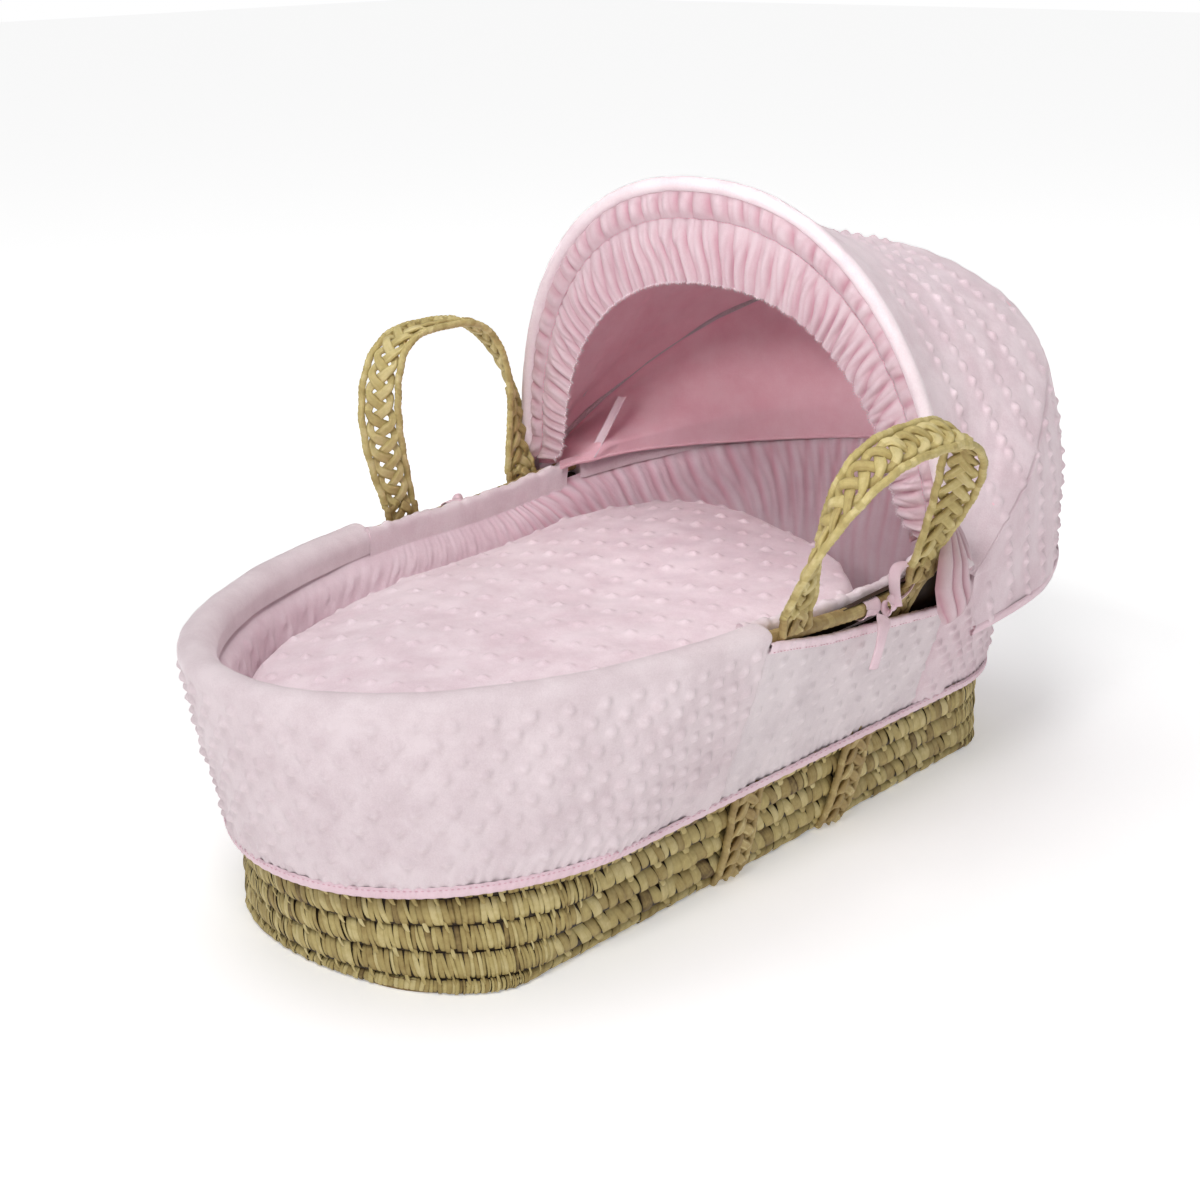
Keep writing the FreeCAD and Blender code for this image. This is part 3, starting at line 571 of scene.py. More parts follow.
s = np.linspace(0, ROUND, 1400, endpoint=False)
coil_line = wall(s, bent(RIM, place_u(s)) - COIL_DROP, -COIL_IN, 1.0)
x, y, _ = coil_line.T
coil_line[:, 2] -= np.where(y < 0, coil_sag(x, -1), coil_sag(x, 1))
ahead = unit(np.roll(coil_line, -1, 0) - np.roll(coil_line, 1, 0))
sideways = unit(np.cross(ahead, [0, 0, 1.0]))
rod, faces, tone, uv = tube(coil_line, sideways, np.cross(sideways, ahead), COIL_THICK, COIL_THICK, 14,
                            0.12, 0.0075, closed=True)
piece("rim_coil_wraps", [(rod, faces, 0.5 * tone, uv)], STRAW_SHADED, replaces=["rim_coil"])

# ------------------------------------------------------------------ braided bands: handles and straps

HANDLE_POWER = 3.4
HANDLE_X = {-1: 0.001, 1: 0.018}
HANDLE_HALF = {-1: 0.0800, 1: 0.0735}
HANDLE_REACH = {-1: 0.137, 1: 0.143}
HANDLE_SKEW, HANDLE_BULGE, HANDLE_START = -0.026, 0.085, 0.004
CORD_THICK = 0.003
BAND_HALF = 0.018
JOINTS = {joint["name"]: joint for joint in frame["joints"]}


def handle_line(side, lean, foot):
    """The loop's middle line and the directions across it and out of it, at even spacing."""
    up = np.array([0, side * math.sin(lean), math.cos(lean)])
    out = np.array([0, side * math.cos(lean), -math.sin(lean)])
    reach = HANDLE_REACH[side]
    low = math.asin((HANDLE_START / reach) ** (HANDLE_POWER / 2))
    place = np.linspace(0, 1, 1600)
    turn = math.pi - low - (math.pi - 2 * low) * place
    cosine = np.cos(turn)
    rise = np.sin(turn) ** (2 / HANDLE_POWER)
    wide = np.copysign(np.abs(cosine) ** (2 / HANDLE_POWER), cosine)
    x = HANDLE_HALF[side] * wide * (1 + HANDLE_BULGE * np.sin(np.pi * rise)) + HANDLE_SKEW * rise
    line = foot + up * (reach * rise)[:, None]
    line[:, 0] += x
    line = np.concatenate([line[:1] - 0.0085 * up, line, line[-1:] - 0.0085 * up])
    packed = evened(np.column_stack([line, np.concatenate([[0], place, [1]])]), 540)
    line, place = packed[:, :3], packed[:, 3]
    twist = 0.5 * np.pi * np.sin(np.pi * np.clip(place, 0, 1)) ** 0.7
    wall_way = np.where(place < 0.5, 1.0, -1.0)[:, None] * np.array([1.0, 0, 0])
    across = wall_way * -np.cos(twist)[:, None] + out * np.sin(twist)[:, None]
    tangent = unit(np.gradient(line, axis=0))
    across = squared(across, tangent)
    return line, across, np.cross(tangent, across)


def band(line, across, normal, seed, deep=1.0, pitch=0.046):
    """Three leaf strands plaited flat, and a wound cord along each edge."""
    rng = np.random.default_rng(seed)
    along = lengths(line)
    deep = np.broadcast_to(deep, len(line))
    strand = 0.0039
    reach = BAND_HALF - 2 * CORD_THICK - strand + 0.0014
    parts = []
    for k in range(3):
        phase = 2 * np.pi * (along / pitch + k / 3)
        shift = reach * np.sin(phase) * (1 + 0.10 * np.sin(phase * 0.37 + seed))
        over = 0.0022 * deep * np.sin(2 * phase)
        path = line + across * shift[:, None] + normal * over[:, None]
        way = unit(np.gradient(path, axis=0))
        sideways = unit(np.cross(normal, way))
        number = np.floor(along / pitch * 2 + 2 * k / 3 + 0.5).astype(int)
        tone = rng.uniform(0.28, 0.62, number.max() + 3)[number]
        fat = strand * (1 + 0.16 * np.cos(2 * phase) + 0.06 * np.sin(phase * 5.3 + k))
        grid, faces, _, uv = tube(path, sideways, normal, fat, 0.0021 * deep, 14)
        cosine, sine = ring_points(14)
        ridge = 0.0005 * np.cos(3 * np.pi * cosine)[None] * np.sign(sine)[None] * deep[:, None]
        grid = grid + normal[:, None] * ridge[..., None]
        # painted shade: each strand darker at its sides and in its ridge troughs, where it passes under the
        # others
        tone = tone[:, None] - 0.22 * np.abs(cosine)[None] ** 6 - 0.10 * (ridge < 0)
        parts.append((grid, faces, tone, uv))
    for way in (-1, 1):
        wander = 0.0004 * np.sin(along * 260 + seed + way)
        path = line + across * (way * (BAND_HALF - CORD_THICK) + wander)[:, None]
        grid, faces, tone, uv = tube(path, across, normal, CORD_THICK,
                                     CORD_THICK * np.minimum(1, deep + 0.2), 12, 0.20, 0.0055)
        parts.append((grid, faces, 0.25 + 0.4 * tone - 0.1, uv))
    return parts


for side, side_name, lean in ((-1, "near", math.radians(27)), (1, "far", 0.0)):
    foot = np.array(JOINTS[side_name + "_handle_swing"]["pos_m"], float)
    foot[0] = HANDLE_X[side]
    parts = band(*handle_line(side, lean, foot), 60 + side)
    cords = ["handle_%s_%s_cord" % (side_name, c) for c in ("outer", "inner")]
    piece("handle_%s_plait" % side_name, parts[:3], STRAW, "handle_" + side_name,
          ["handle_%s_braid" % side_name])
    piece("handle_%s_edge_cords" % side_name, parts[3:], STRAW, "handle_" + side_name, cords)

STRAP_Z = (0.0020, 0.016, 0.041, 0.082, 0.120, 0.160, 0.190, 0.205, 0.214, 0.2165, 0.2195, 0.235)
STRAP_DEEP = np.array([3.4, 3.6, 3.6, 1.9, 0.8, 0.8, 0.8, 0.8, 0.8, 0.9, 1.4, 2.4]) * 0.001
STRAP_GAP = 0.0016
STRAP_PAST = WIDTH[1] - COIL_IN + COIL_THICK + 0.0007
STRAP_HIGH = {0.205: 0.1982, 0.214: 0.2062, 0.2165: 0.2072, 0.2195: STRAP_PAST, 0.235: STRAP_PAST}


def strap_line(side, foot_x, top_x):
    points = []
    for z, deep in zip(STRAP_Z, STRAP_DEEP):
        x = foot_x + (top_x - foot_x) * z / 0.2365
        inside = weave_out(z / RIM[0]) + STRAP_GAP
        p = wall_at(x, z, inside, side, min(z / RIM[0], 1.0))
        if z in STRAP_HIGH:
            p[1] = side * STRAP_HIGH[z]
        p[1] += side * (deep + 0.0012 * (z < 0.09))
        points.append([*p, deep / 0.0024])
    points[0][1] -= side * 0.005
    packed = evened(np.array(points[::-1]), 560)
    line = softened(packed[:, :3], 60)
    tangent = unit(np.gradient(line, axis=0))
    across = squared(np.array([[1.0, 0, 0]]), tangent)
    return line, across, unit(np.cross(tangent, across)), np.minimum(1.25, packed[:, 3])


for side, side_name in SIDES:
    for end, end_name in ((-1, "foot"), (1, "head")):
        top_x = HANDLE_X[side] + end * HANDLE_HALF[side]
        foot_x = (0.004 if side < 0 else 0.010) + end * 0.067
        *directions, deep = strap_line(side, foot_x, top_x)
        parts = band(*directions, 70 + side + 3 * end, deep, pitch=0.042)
        piece("strap_%s_%s_plait" % (side_name, end_name), parts, STRAW_SHADED,
              replaces=["strap_%s_%s" % (side_name, end_name)])

# ------------------------------------------------------------------ skirt panels with their soft roll

CLOTH_STEP = 0.0021
HEM_TAPE = 0.0065
LIP = 0.022
DOT_PITCH, DOT_ROW = 0.0262, 0.0132
SKIRT_ROWS = 116


def skirt(s, w):
    """The skirt's outside: w runs from 0 at the hem, over the rim, to 1 at the edge inside."""
    u = place_u(s)
    rim, hem = bent(RIM, u), bent(HEM, u) + HEM_TAPE
    crown = rim - 0.95 * ROLL_RADIUS
    long_wall = np.linalg.norm(wall(s, crown, cloth_out) - wall(s, hem, cloth_out), axis=-1)
    long_arc = math.pi * ROLL_RADIUS * 0.975
    total = long_wall + long_arc + LIP - 0.95 * ROLL_RADIUS
    at = w * total
    rise = np.clip(at / long_wall, 0, 1)
    turn = np.clip((at - long_wall) / long_arc, 0, 1) * np.pi
    down = np.maximum(0, at - long_wall - long_arc)
    z = hem + (crown - hem) * rise + 0.95 * ROLL_RADIUS * np.sin(turn) - down
    start = crown / rim
    level = np.where(turn > 0, 1 - (1 - start) * np.maximum(0, 1 - turn / 0.9) ** 2, z / rim)
    out = np.where(turn > 0, ROLL_RADIUS * (np.cos(turn) - 1), cloth_out(level))
    x, y = plan(s, level, out)
    return stacked(x, y, z), total


def seam_places(x, rows, side):
    """Where round the skirt each row meets a seam at a place x."""
    if side < 0:
        s = np.linspace(0.02, ROUND / 2 - 0.02, 900)
    else:
        s = np.linspace(ROUND / 2 + 0.02, ROUND - 0.02, 900)
    grid = skirt(s[:, None], rows[None, :])[0][..., 0]
    order = 1 if side < 0 else -1
    return np.array([np.interp(x, grid[::order, j], s[::order]) for j in range(len(rows))])


LUMP_WIDE, LUMP_FINE = waves(1, 0.075), waves(2, 0.026)


def outward_of(grid, normal):
    """1 if the normals point away from the basket's middle, -1 if they point to it."""
    middle = grid * [1, 1, 0]
    middle[..., 0] -= np.clip(middle[..., 0], -0.3, 0.3)
    return 1 if (middle * normal).sum() > 0 else -1


def cap(section, inward):
    """Closes the open end of a rolled edge with cloth turned in."""
    middle = section.mean(0)
    layers = [section] + [middle + (section - middle) * k + inward * d
                          for k, d in ((0.8, 0.0008), (0.5, 0.0016), (0.2, 0.0018), (0.02, 0.0018))]
    return np.stack(layers, 1)


def skirt_dots(start, end, middle):
    """Dot places in rows along the cloth, evenly spaced from the panel's middle."""
    centres = []
    line = np.linspace(start, end, 3000)
    for j in range(14):
        length = skirt(line, 0 * line)[1]
        w = 1 - (LIP - 0.95 * ROLL_RADIUS + math.pi * ROLL_RADIUS * 0.975 + 0.005 + j * DOT_ROW) / length
        points = skirt(line, w)[0]
        along = lengths(points)
        along -= np.interp(middle, line, along)
        at = (np.arange(-60, 61) + 0.5 * (j % 2)) * DOT_PITCH
        at = at[(at > along[0]) & (at < along[-1])]
        ok = np.interp(at, along, w) > 0.05
        centres.append(picked(at[ok], along, points))
    return np.concatenate(centres)


def skirt_panel(name, node, x_seam, foot, material):
    rows = np.linspace(0, 1, SKIRT_ROWS)
    near, far = (seam_places(x_seam, rows, side) for side in (-1, 1))
    start, end = (far - ROUND, near) if foot else (near, far)
    count = int((end - start).max() / CLOTH_STEP)
    s = start[None] + (end - start)[None] * np.linspace(0, 1, count)[:, None]
    grid, total = skirt(s, rows[None])
    normal = normals(grid)
    outward = outward_of(grid[:, :60], normal[:, :60])
    middle = 0.0 if foot else 0.5 * ROUND
    seam = np.minimum(s - start[None], end[None] - s)
    raised = dots(grid, skirt_dots(start.min(), end.max(), middle), 0.0054, 0.0038 if foot else 0.0031, 3)
    raised *= smooth(seam / 0.007)
    roll = smooth((rows[None] - 0.62) / 0.2)
    hem = np.exp(-rows[None] * total / 0.014)
    pucker = np.sin(s * 2 * np.pi / 0.0105 + 2.4 * waves(5, 0.05)(grid))
    lift = (0.0013 * LUMP_WIDE(grid) + 0.0006 * LUMP_FINE(grid)) * (1 - 0.6 * roll) + 0.0008
    lift += 0.0009 * hem * pucker + raised
    lift -= 0.0022 * np.exp(-(seam / 0.0014) ** 2)
    grid = lifted(grid, normal, outward * lift)
    flip = outward < 0
    inward = np.array([-1.0 if foot else 1.0, 0, 0])
    first = int(0.60 * SKIRT_ROWS)
    ends = [sheet_part(cap(grid[i, first:], inward), flip if i else not flip) for i in (0, -1)]
    return piece(name, [sheet_part(grid, flip), *ends], material, replaces=[node])


foot_panel = skirt_panel("skirt_foot_cloth", "skirt_foot_panel", SEAM_FOOT + 0.0012, True, PLUSH)
head_panel = skirt_panel("skirt_head_cloth", "skirt_head_panel", SEAM_HEAD - 0.0012, False, PLUSH_SHADED)

# ------------------------------------------------------------------ flaps, slot tapes, hem tape, lips

SLOT = (0.220, 0.187)
LIP_MIDDLE = -0.0285
THREAD_THICK = 0.0003
LEVEL_WAY, UP_WAY = np.array([[0, 1.0, 0]]), np.array([[0, 0, 1.0]])


def slot_height(x, side):
    """The slot's lower edge; the near flap hangs a little lower."""
    place = (x - SEAM_FOOT) / (SEAM_HEAD - SEAM_FOOT)
    return mix(SLOT, place) - 0.0052 * (side < 0) * smooth(place / 0.35)


for side, side_name in SIDES:
    x = np.linspace(SEAM_FOOT - 0.003, SEAM_HEAD + 0.003, 128)[:, None]
    low = bent(HEM, x / HALF[1]) + HEM_TAPE
    high = slot_height(x, side) - 0.004
    v = np.linspace(0, 1, 66)[None]
    z = low + (high - low) * v
    grid = wall_at(x, z, cloth_out, side)
    normal = normals(grid)
    outward = np.sign(normal[60, 30, 1]) * side
    centres = []
    for j in range(12):
        cx = np.arange(SEAM_FOOT, SEAM_HEAD, DOT_PITCH) + 0.5 * DOT_PITCH * (j % 2)
        cz = slot_height(cx, side) - 0.018 - DOT_ROW * j
        ok = (cz > bent(HEM, cx / HALF[1]) + 0.014) & (cx > SEAM_FOOT + 0.004) & (cx < SEAM_HEAD - 0.004)
        centres.append(wall_at(cx[ok], cz[ok], cloth_out, side))
    lift = dots(grid, np.concatenate(centres), 0.0048, 0.0022, 9)
    lift += 0.0011 * waves(12 + side, 0.06)(grid) + 0.0005 * LUMP_FINE(grid)
    lift += 0.0008 * np.exp(-v * 9) * np.sin(x * 600 + 2 * waves(5, 0.05)(grid))
    edge = np.minimum(x - SEAM_FOOT, SEAM_HEAD - x)
    lift -= 0.0016 * smooth((0.004 - edge) / 0.005)
    grid = lifted(grid, normal, outward * lift)
    flap = piece("flap_%s_cloth" % side_name, [sheet_part(grid, outward < 0)], PLUSH_FLAP,
                 replaces=["skirt_flap_" + side_name])
    x = np.linspace(SEAM_FOOT - 0.001, SEAM_HEAD + 0.001, 150)[:, None]
    out, up = outline((0.2, -8.5), (1.3, -8.0), (1.7, -5.5), (1.8, -2.5), (1.2, -0.4), (-0.6, 0.3),
                      (-2.8, -0.2), (-4.2, -2.0), (-4.4, -5.0))
    out = out + 0.0005 * np.sin(x * 330 + side) + 0.0003 * np.sin(x * 890)
    tape = wall_at(x, slot_height(x, side) + up, lambda level: cloth_out(level) + out, side)
    slot_tape = piece("slot_tape_%s" % side_name, [sheet_part(tape, side < 0)], TAPE,
                      replaces=["slot_binding_" + side_name])
    parts = []
    for sx in np.arange(SEAM_FOOT + 0.003, SEAM_HEAD - 0.003, 0.0042):
        line_x = np.linspace(sx, sx + 0.0028, 5)
        line = wall_at(line_x, slot_height(line_x, side) - 0.0072, 0.0021, side)
        line[:, 1] -= side * 0.0005 * np.array([1, 0, 0, 0, 1])
        parts.append(tube(line, LEVEL_WAY, UP_WAY, THREAD_THICK, THREAD_THICK, 6))
    slot_stitches = piece("slot_stitches_%s" % side_name, parts, THREAD)
    x = np.linspace(SEAM_FOOT - 0.004, SEAM_HEAD - 0.020, 140)[:, None]
    out, up = outline((-30.0, -26), (-30.4, -14), (-31.4, -6), (-31.8, -1), (-30.8, 1.8), (-28.3, 3.2),
                      (-25.6, 2.4), (-24.2, 0.0), (-23.9, -4), (-25.2, -9), (-26.8, -13))
    top = smooth((up + 0.014) / 0.012)
    wavy = 0.0009 * np.sin(x * 2 * np.pi / 0.031 + 1.9 * np.sin(x * 60)) + 0.0005 * np.sin(x * 540 + side)
    z = bent(RIM, x / HALF[1]) + up + wavy * top - 0.003 - coil_sag(x, side)
    fat = 1 + 0.12 * np.sin(x * 260 + 2 * np.sin(x * 70)) * top
    lip = wall_at(x, z, LIP_MIDDLE + (out - LIP_MIDDLE) * fat, side, 1.0)
    ends = [sheet_part(cap(lip[i], np.array([way, 0, 0])), (side > 0) != (i == 0))
            for i, way in ((0, 1.0), (-1, -1.0))]
    lip_cloth = piece("liner_lip_%s_cloth" % side_name, [sheet_part(lip, side > 0), *ends], ROLL_CLOTH,
                      replaces=["liner_lip_" + side_name])

s = np.linspace(0, ROUND, 1000, endpoint=False)[:, None]
out, up = outline((0.3, 8.4), (1.5, 7.8), (1.9, 5.6), (2.0, 3.0), (1.6, 0.8), (0.4, -0.3), (-1.4, -0.2),
                  (-2.6, 1.0), (-3.0, 4.0))
out = out + 0.0004 * np.sin(s * 600 + 2 * np.sin(s * 60)) + 0.0007
hem_tape = wall(s, bent(HEM, place_u(s)) + up, lambda level: cloth_out(level) + out)
hem_tape = piece("hem_tape", [sheet_part(hem_tape, False, closed=True)], SATIN,
                 replaces=["hem_binding"])
parts = []
for sx in np.arange(0, ROUND, 0.0048):
    line_s = np.linspace(sx, sx + 0.003, 4)
    line = wall(line_s, bent(HEM, place_u(line_s)) + 0.0066, lambda level: cloth_out(level) + 0.0027)
    parts.append(tube(line, *rails(line)[1:], THREAD_THICK, THREAD_THICK, 6))
hem_stitches = piece("hem_stitches", parts, THREAD)

# ------------------------------------------------------------------ liner

LINER_IN = 0.0118


def liner_place(s, w):
    """w runs from 0 near the floor to 1 under the roll."""
    rim = bent(RIM, place_u(s))
    low, high = 0.0175, rim - 0.0165
    z = low + (high - low) * w
    level = z / rim
    tuck = smooth((z - (rim - 0.034)) / 0.016)
    out = (weave_out(level) - LINER_IN) * (1 - tuck) + (-0.0275 + 0.084 * (1 - level)) * tuck
    x, y = plan(s, level, out)
    sag = np.where(y < -0.12, coil_sag(x, -1), np.where(y > 0.12, coil_sag(x, 1), 0.0))
    return stacked(x, y, z - sag * smooth((w - 0.5) / 0.4))


s = np.linspace(0, ROUND, 1040, endpoint=False)[:, None]
w = np.linspace(0, 1, 44)[None]
grid = liner_place(s, w)
normal = normals(grid, closed=True)
inward = -np.sign((normal[0, 20] * [-1, 0, 0]).sum())
wander = waves(21, 0.16)(grid)
fold = np.abs(np.sin(np.pi * s / 0.0155 + 2.6 * wander)) ** 0.8
fold2 = np.abs(np.sin(np.pi * s / 0.0098 + 3.1 * waves(22, 0.12)(grid)))
headward = smooth((grid[..., 0] + 0.02) / 0.16)
amount = (0.0006 + 0.0028 * headward) * (0.35 + 0.65 * smooth((w - 0.45) / 0.4))
amount = amount * (1 - 0.75 * smooth((w - 0.93) / 0.07))
place_s, place_w = np.meshgrid(np.arange(0, ROUND, DOT_PITCH), np.arange(0.2, 0.93, 0.062))
place_s = place_s + 0.5 * DOT_PITCH * (np.arange(len(place_s)) % 2)[:, None]
liner_dots = dots(grid, liner_place(place_s.ravel(), place_w.ravel()), 0.0050, 0.0024, 23)
lift = amount * (0.7 * fold + 0.45 * fold2) + liner_dots * (1 - 0.8 * headward)
liner_grid = lifted(grid, normal, inward * lift)
# painted shade: the tone falls in the fold valleys, most towards the head under the hood
valley = 0.5 - 0.35 * headward * (1 - 0.7 * fold - 0.3 * fold2) * (0.4 + 0.6 * smooth((w - 0.45) / 0.4))
liner = piece("liner_cloth", [sheet_part(liner_grid, inward > 0, closed=True, tone=valley)], LINER,
              replaces=["liner_wall"])

# ------------------------------------------------------------------ mattress and coverlet

lo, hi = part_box("mattress")
angle = np.linspace(0, 2 * np.pi, 420, endpoint=False)[:, None]
power = 2 / 3.2
ex = np.copysign(np.abs(np.cos(angle)) ** power, np.cos(angle)) * hi.x
ey = np.copysign(np.abs(np.sin(angle)) ** power, np.sin(angle)) * hi.y
wide, high = np.array([(0.0, 0.0), (0.97, 0.0), (0.992, 0.06), (1.0, 0.25), (0.996, 0.5), (1.0, 0.72),
                       (0.994, 0.88), (0.982, 0.96), (0.965, 0.955), (0.94, 0.975), (0.8, 1.0), (0.6, 1.0),
                       (0.4, 1.0), (0.2, 1.0), (0.0, 1.0)]).T[:, None]
pad = stacked(ex * wide, ey * wide, lo.z + (hi.z - lo.z) * high)
pad[..., 2] += smooth((high - 0.93) / 0.05) * 0.0008 * waves(31, 0.05)(pad)
mattress = piece("mattress_pad", [sheet_part(pad, False, closed=True)], SHEETING, replaces=["mattress"])

QUILT_DROP, QUILT_CROWN, QUILT_SHEAR = 0.042, 0.013, 0.30
FOOT_X, HEAD_X = -0.3735, 0.190
CORNER_FOOT, CORNER_HEAD, QUILT_HALF = 0.266, 0.135, 0.170
QUILT_COLUMNS, QUILT_ROWS = 282, 172
place = np.linspace(0, 1, QUILT_COLUMNS)[:, None]
x = FOOT_X + (HEAD_X - FOOT_X) * (0.125 * (1 - np.cos(np.pi * place)) + 0.75 * place)
past = np.maximum((FOOT_X + CORNER_FOOT - x) / CORNER_FOOT, (x - HEAD_X + CORNER_HEAD) / CORNER_HEAD)
past = np.maximum(0, past)
half = QUILT_HALF * np.sqrt(np.maximum(0.0, 1 - np.minimum(past, 1) ** 2.15)) + 0.0004
y = half * np.linspace(-1, 1, QUILT_ROWS)[None]
inside = 1 - np.sqrt((np.abs(y) / QUILT_HALF) ** 2.2 + past ** 2.2)
edge = np.clip(inside, 0, 1) * QUILT_HALF
sheared = x + QUILT_SHEAR * y * smooth(x / HEAD_X)
base = RIM[0] + RIM[2] * sheared / HALF[1] - QUILT_DROP
z = base + QUILT_CROWN * (1 - np.exp(-edge / 0.05)) - 0.026 * np.exp(-(edge / 0.007) ** 1.4)
quilt = stacked(sheared, y, z)
first, second = np.meshgrid(np.arange(-24, 25), np.arange(-24, 25))
centres = np.stack([-0.019 + 0.006 * first - 0.031 * second, -0.018 - 0.020 * first - 0.023 * second,
                    0.0 * first], -1).reshape(-1, 3)
centres = centres[(np.abs(centres[:, 0]) < 0.4) & (np.abs(centres[:, 1]) < 0.19)]
raised = dots(quilt * [1, 1, 0], centres, 0.0052, 0.0027, 33) * smooth((edge - 0.004) / 0.006)
quilt[..., 2] += raised + 0.0022 * waves(34, 0.13)(quilt) + 0.0008 * waves(35, 0.04)(quilt)
coverlet = piece("coverlet_quilt", [sheet_part(quilt)], PLUSH_LIT_TOP, replaces=["coverlet"])

# ------------------------------------------------------------------ hood

PIVOT = np.array(JOINTS["hood_fold"]["pos_m"], float)
FRONT, REAR = 97.0, 32.0
ARCH_POWER = 2.25
FRONT_WIDTH, FRONT_REACH = 0.2175, 0.285
DOTS_NEAR, DOTS_CLEAR = 0.012, 0.026  # dots lie on the cloth, and keep clear of its front edge
HUB_WIDTH = 0.236  # the cloth goes at least this far out round the hinge pins


def bends(thing):
    """Bakes the piece's transform into its points."""
    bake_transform(thing)
    return thing


def way_of(degrees):
    angle = np.radians(degrees)
    return np.stack([np.cos(angle), 0 * angle, np.sin(angle)], -1)


def arch(degrees, wide, reach, start, count):
    """Evenly spaced points of an arch from the near side to the far side."""
    low = math.asin(min(1.0, (start / reach) ** (ARCH_POWER / 2)))
    turn = low + (math.pi - 2 * low) * np.linspace(0, 1, 900)
    cosine = np.cos(turn)
    y = -wide * np.copysign(np.abs(cosine) ** (2 / ARCH_POWER), cosine)
    rise = reach * np.sin(turn) ** (2 / ARCH_POWER)
    line = evened(np.column_stack([rise, y]), count)
    hub = np.exp(-(line[:, 0] / 0.022) ** 2)
    swell = np.sign(line[:, 1]) * np.maximum(0, (HUB_WIDTH - wide) * hub)
    points = PIVOT + way_of(degrees) * line[:, :1]
    points[:, 1] += line[:, 1] + swell
    return points


# the canopy's side view and plan: the angle round the hinge, the reach from it, the half width there
CANOPY = np.array([(0, 0.3250, 0.2380), (8, 0.3270, 0.2385), (20, 0.3290, 0.2385), (30, 0.3300, 0.2380),
                   (32, 0.3305, 0.2380), (34, 0.3285, 0.2372), (40, 0.3110, 0.2325), (44, 0.3005, 0.2300),
                   (50, 0.2835, 0.2250), (58, 0.2655, 0.2215), (66, 0.2545, 0.2195), (74, 0.2525, 0.2185),
                   (82, 0.2575, 0.2185), (86, 0.2635, 0.2185), (92, 0.2755, 0.2185), (97, 0.2850, 0.2175)]).T


def canopy_arch(degrees, inset, start, count):
    reach, wide = (np.interp(degrees, CANOPY[0], row) - inset for row in CANOPY[1:])
    return arch(degrees, wide, reach, start, count)


def canopy_grid(first, last, step):
    angles = np.linspace(first, last, int(abs(first - last) / step) + 1)
    return softened(np.stack([canopy_arch(a, 0.0, 0.0025, COLUMNS) for a in angles]), 6)


def hood_columns(surface):
    """Dot places in columns that climb from the hem on each side, each next one a little lower."""
    flat = surface.reshape(-1, 3)
    centres = []
    for number, x in enumerate(np.arange(0.110, 0.445, 0.034)):
        cut = [[x, *(np.interp(x, line[:, 0], line[:, k]) for k in (1, 2))]
               for line in surface.transpose(1, 0, 2) if line[:, 0].min() < x < line[:, 0].max()]
        if len(cut) < 8:
            continue
        line = np.array([[x, cut[0][1], HOOD_HEM], *cut, [x, cut[-1][1], HOOD_HEM]])
        along = lengths(line)
        first = 0.004 + (-0.008 * number) % DOT_STEP
        at = np.arange(first, 0.5 * along[-1] - 0.2 * DOT_STEP, DOT_STEP)
        at = np.concatenate([at, along[-1] - at])
        points = picked(at, along, line)
        points[:, 0] -= 0.16 * np.minimum(np.minimum(at, along[-1] - at), 0.30)
        centres.append(points)
    tree = tree_of(flat)
    found = [tree.find(point) for point in np.concatenate(centres)]
    placed = np.array([point for point, _, away in found if away < DOTS_NEAR])
    edge = canopy_arch(97.0, 0.0, 0.0025, 300)
    clear = np.sqrt(((placed[:, None] - edge[None]) ** 2).sum(-1)).min(1)
    return placed[clear > DOTS_CLEAR]


DOT_STEP, HOOD_HEM = 0.0130, 0.175
COLUMNS = 430
front_grid = canopy_grid(98.0, REAR, 0.42)
back_grid = canopy_grid(REAR, 0.0, 0.40)
hem_line = back_grid[-1].copy()
drop = np.linspace(0, 1, 24)[1:, None]
fall = np.tile(hem_line[None], (len(drop), 1, 1))
head = smooth((hem_line[:, 0] - PIVOT[0]) / 0.25)
bottom = 0.171 + 0.004 * head + 0.002 * waves(44, 0.12)(hem_line)
fall[..., 2] += (bottom[None] - fall[..., 2]) * drop
back_grid = softened(np.concatenate([back_grid, fall]), 4)
HOOD_CENTRES = hood_columns(np.concatenate([front_grid, back_grid[1:]]))
HOOD_LUMP = waves(41, 0.11)


def hood_cloth(name, grid, nodes, seam_rows):
    normal = normals(grid)
    middle = normal[grid.shape[0] // 2, COLUMNS // 2]
    outward = 1 if (middle * (grid[grid.shape[0] // 2, COLUMNS // 2] - PIVOT)).sum() > 0 else -1
    lift = dots(grid, HOOD_CENTRES, 0.0052, 0.0032, 42)
    rise = np.linalg.norm((grid - PIVOT)[..., [0, 2]], axis=-1)
    free = smooth(rise / 0.05)
    lift = lift * free + 0.0016 * HOOD_LUMP(grid) * free + 0.0005 * LUMP_FINE(grid)
    for row, deep in seam_rows:
        away = np.abs(np.arange(grid.shape[0]) - row)[:, None] * 0.0021
        lift = lift - deep * np.exp(-(away / 0.0035) ** 2)
    grid = lifted(grid, normal, outward * lift)
    made = piece(name, [sheet_part(grid, outward < 0)], PLUSH_SHADED, None, nodes)
    return bends(made)


canopy_front = hood_cloth("canopy_front_cloth", front_grid, ["canopy_front_panel", "canopy_middle_panel"],
                          [(front_grid.shape[0] - 1, 0.0022)])
canopy_back = hood_cloth("canopy_back_cloth", back_grid, ["canopy_back_panel", "canopy_valance"],
                         [(0, 0.0022)])

# hem tape of the canopy's lower edge
low_edge = evened(back_grid[-1], 520)
outward = rails(low_edge)[1]
outward *= np.sign((outward * (low_edge - PIVOT)).sum(1))[:, None]
out, up = outline((0.5, 7.0), (1.6, 6.4), (1.9, 3.5), (1.5, 0.6), (0.2, -0.6), (-1.6, 0.2), (-1.9, 3.4))
tape = low_edge[:, None] + outward[:, None] * out[..., None] + UP_WAY * up[..., None]
canopy_hem = piece("canopy_hem_tape", [sheet_part(tape)], SATIN, body=None)
bends(canopy_hem)

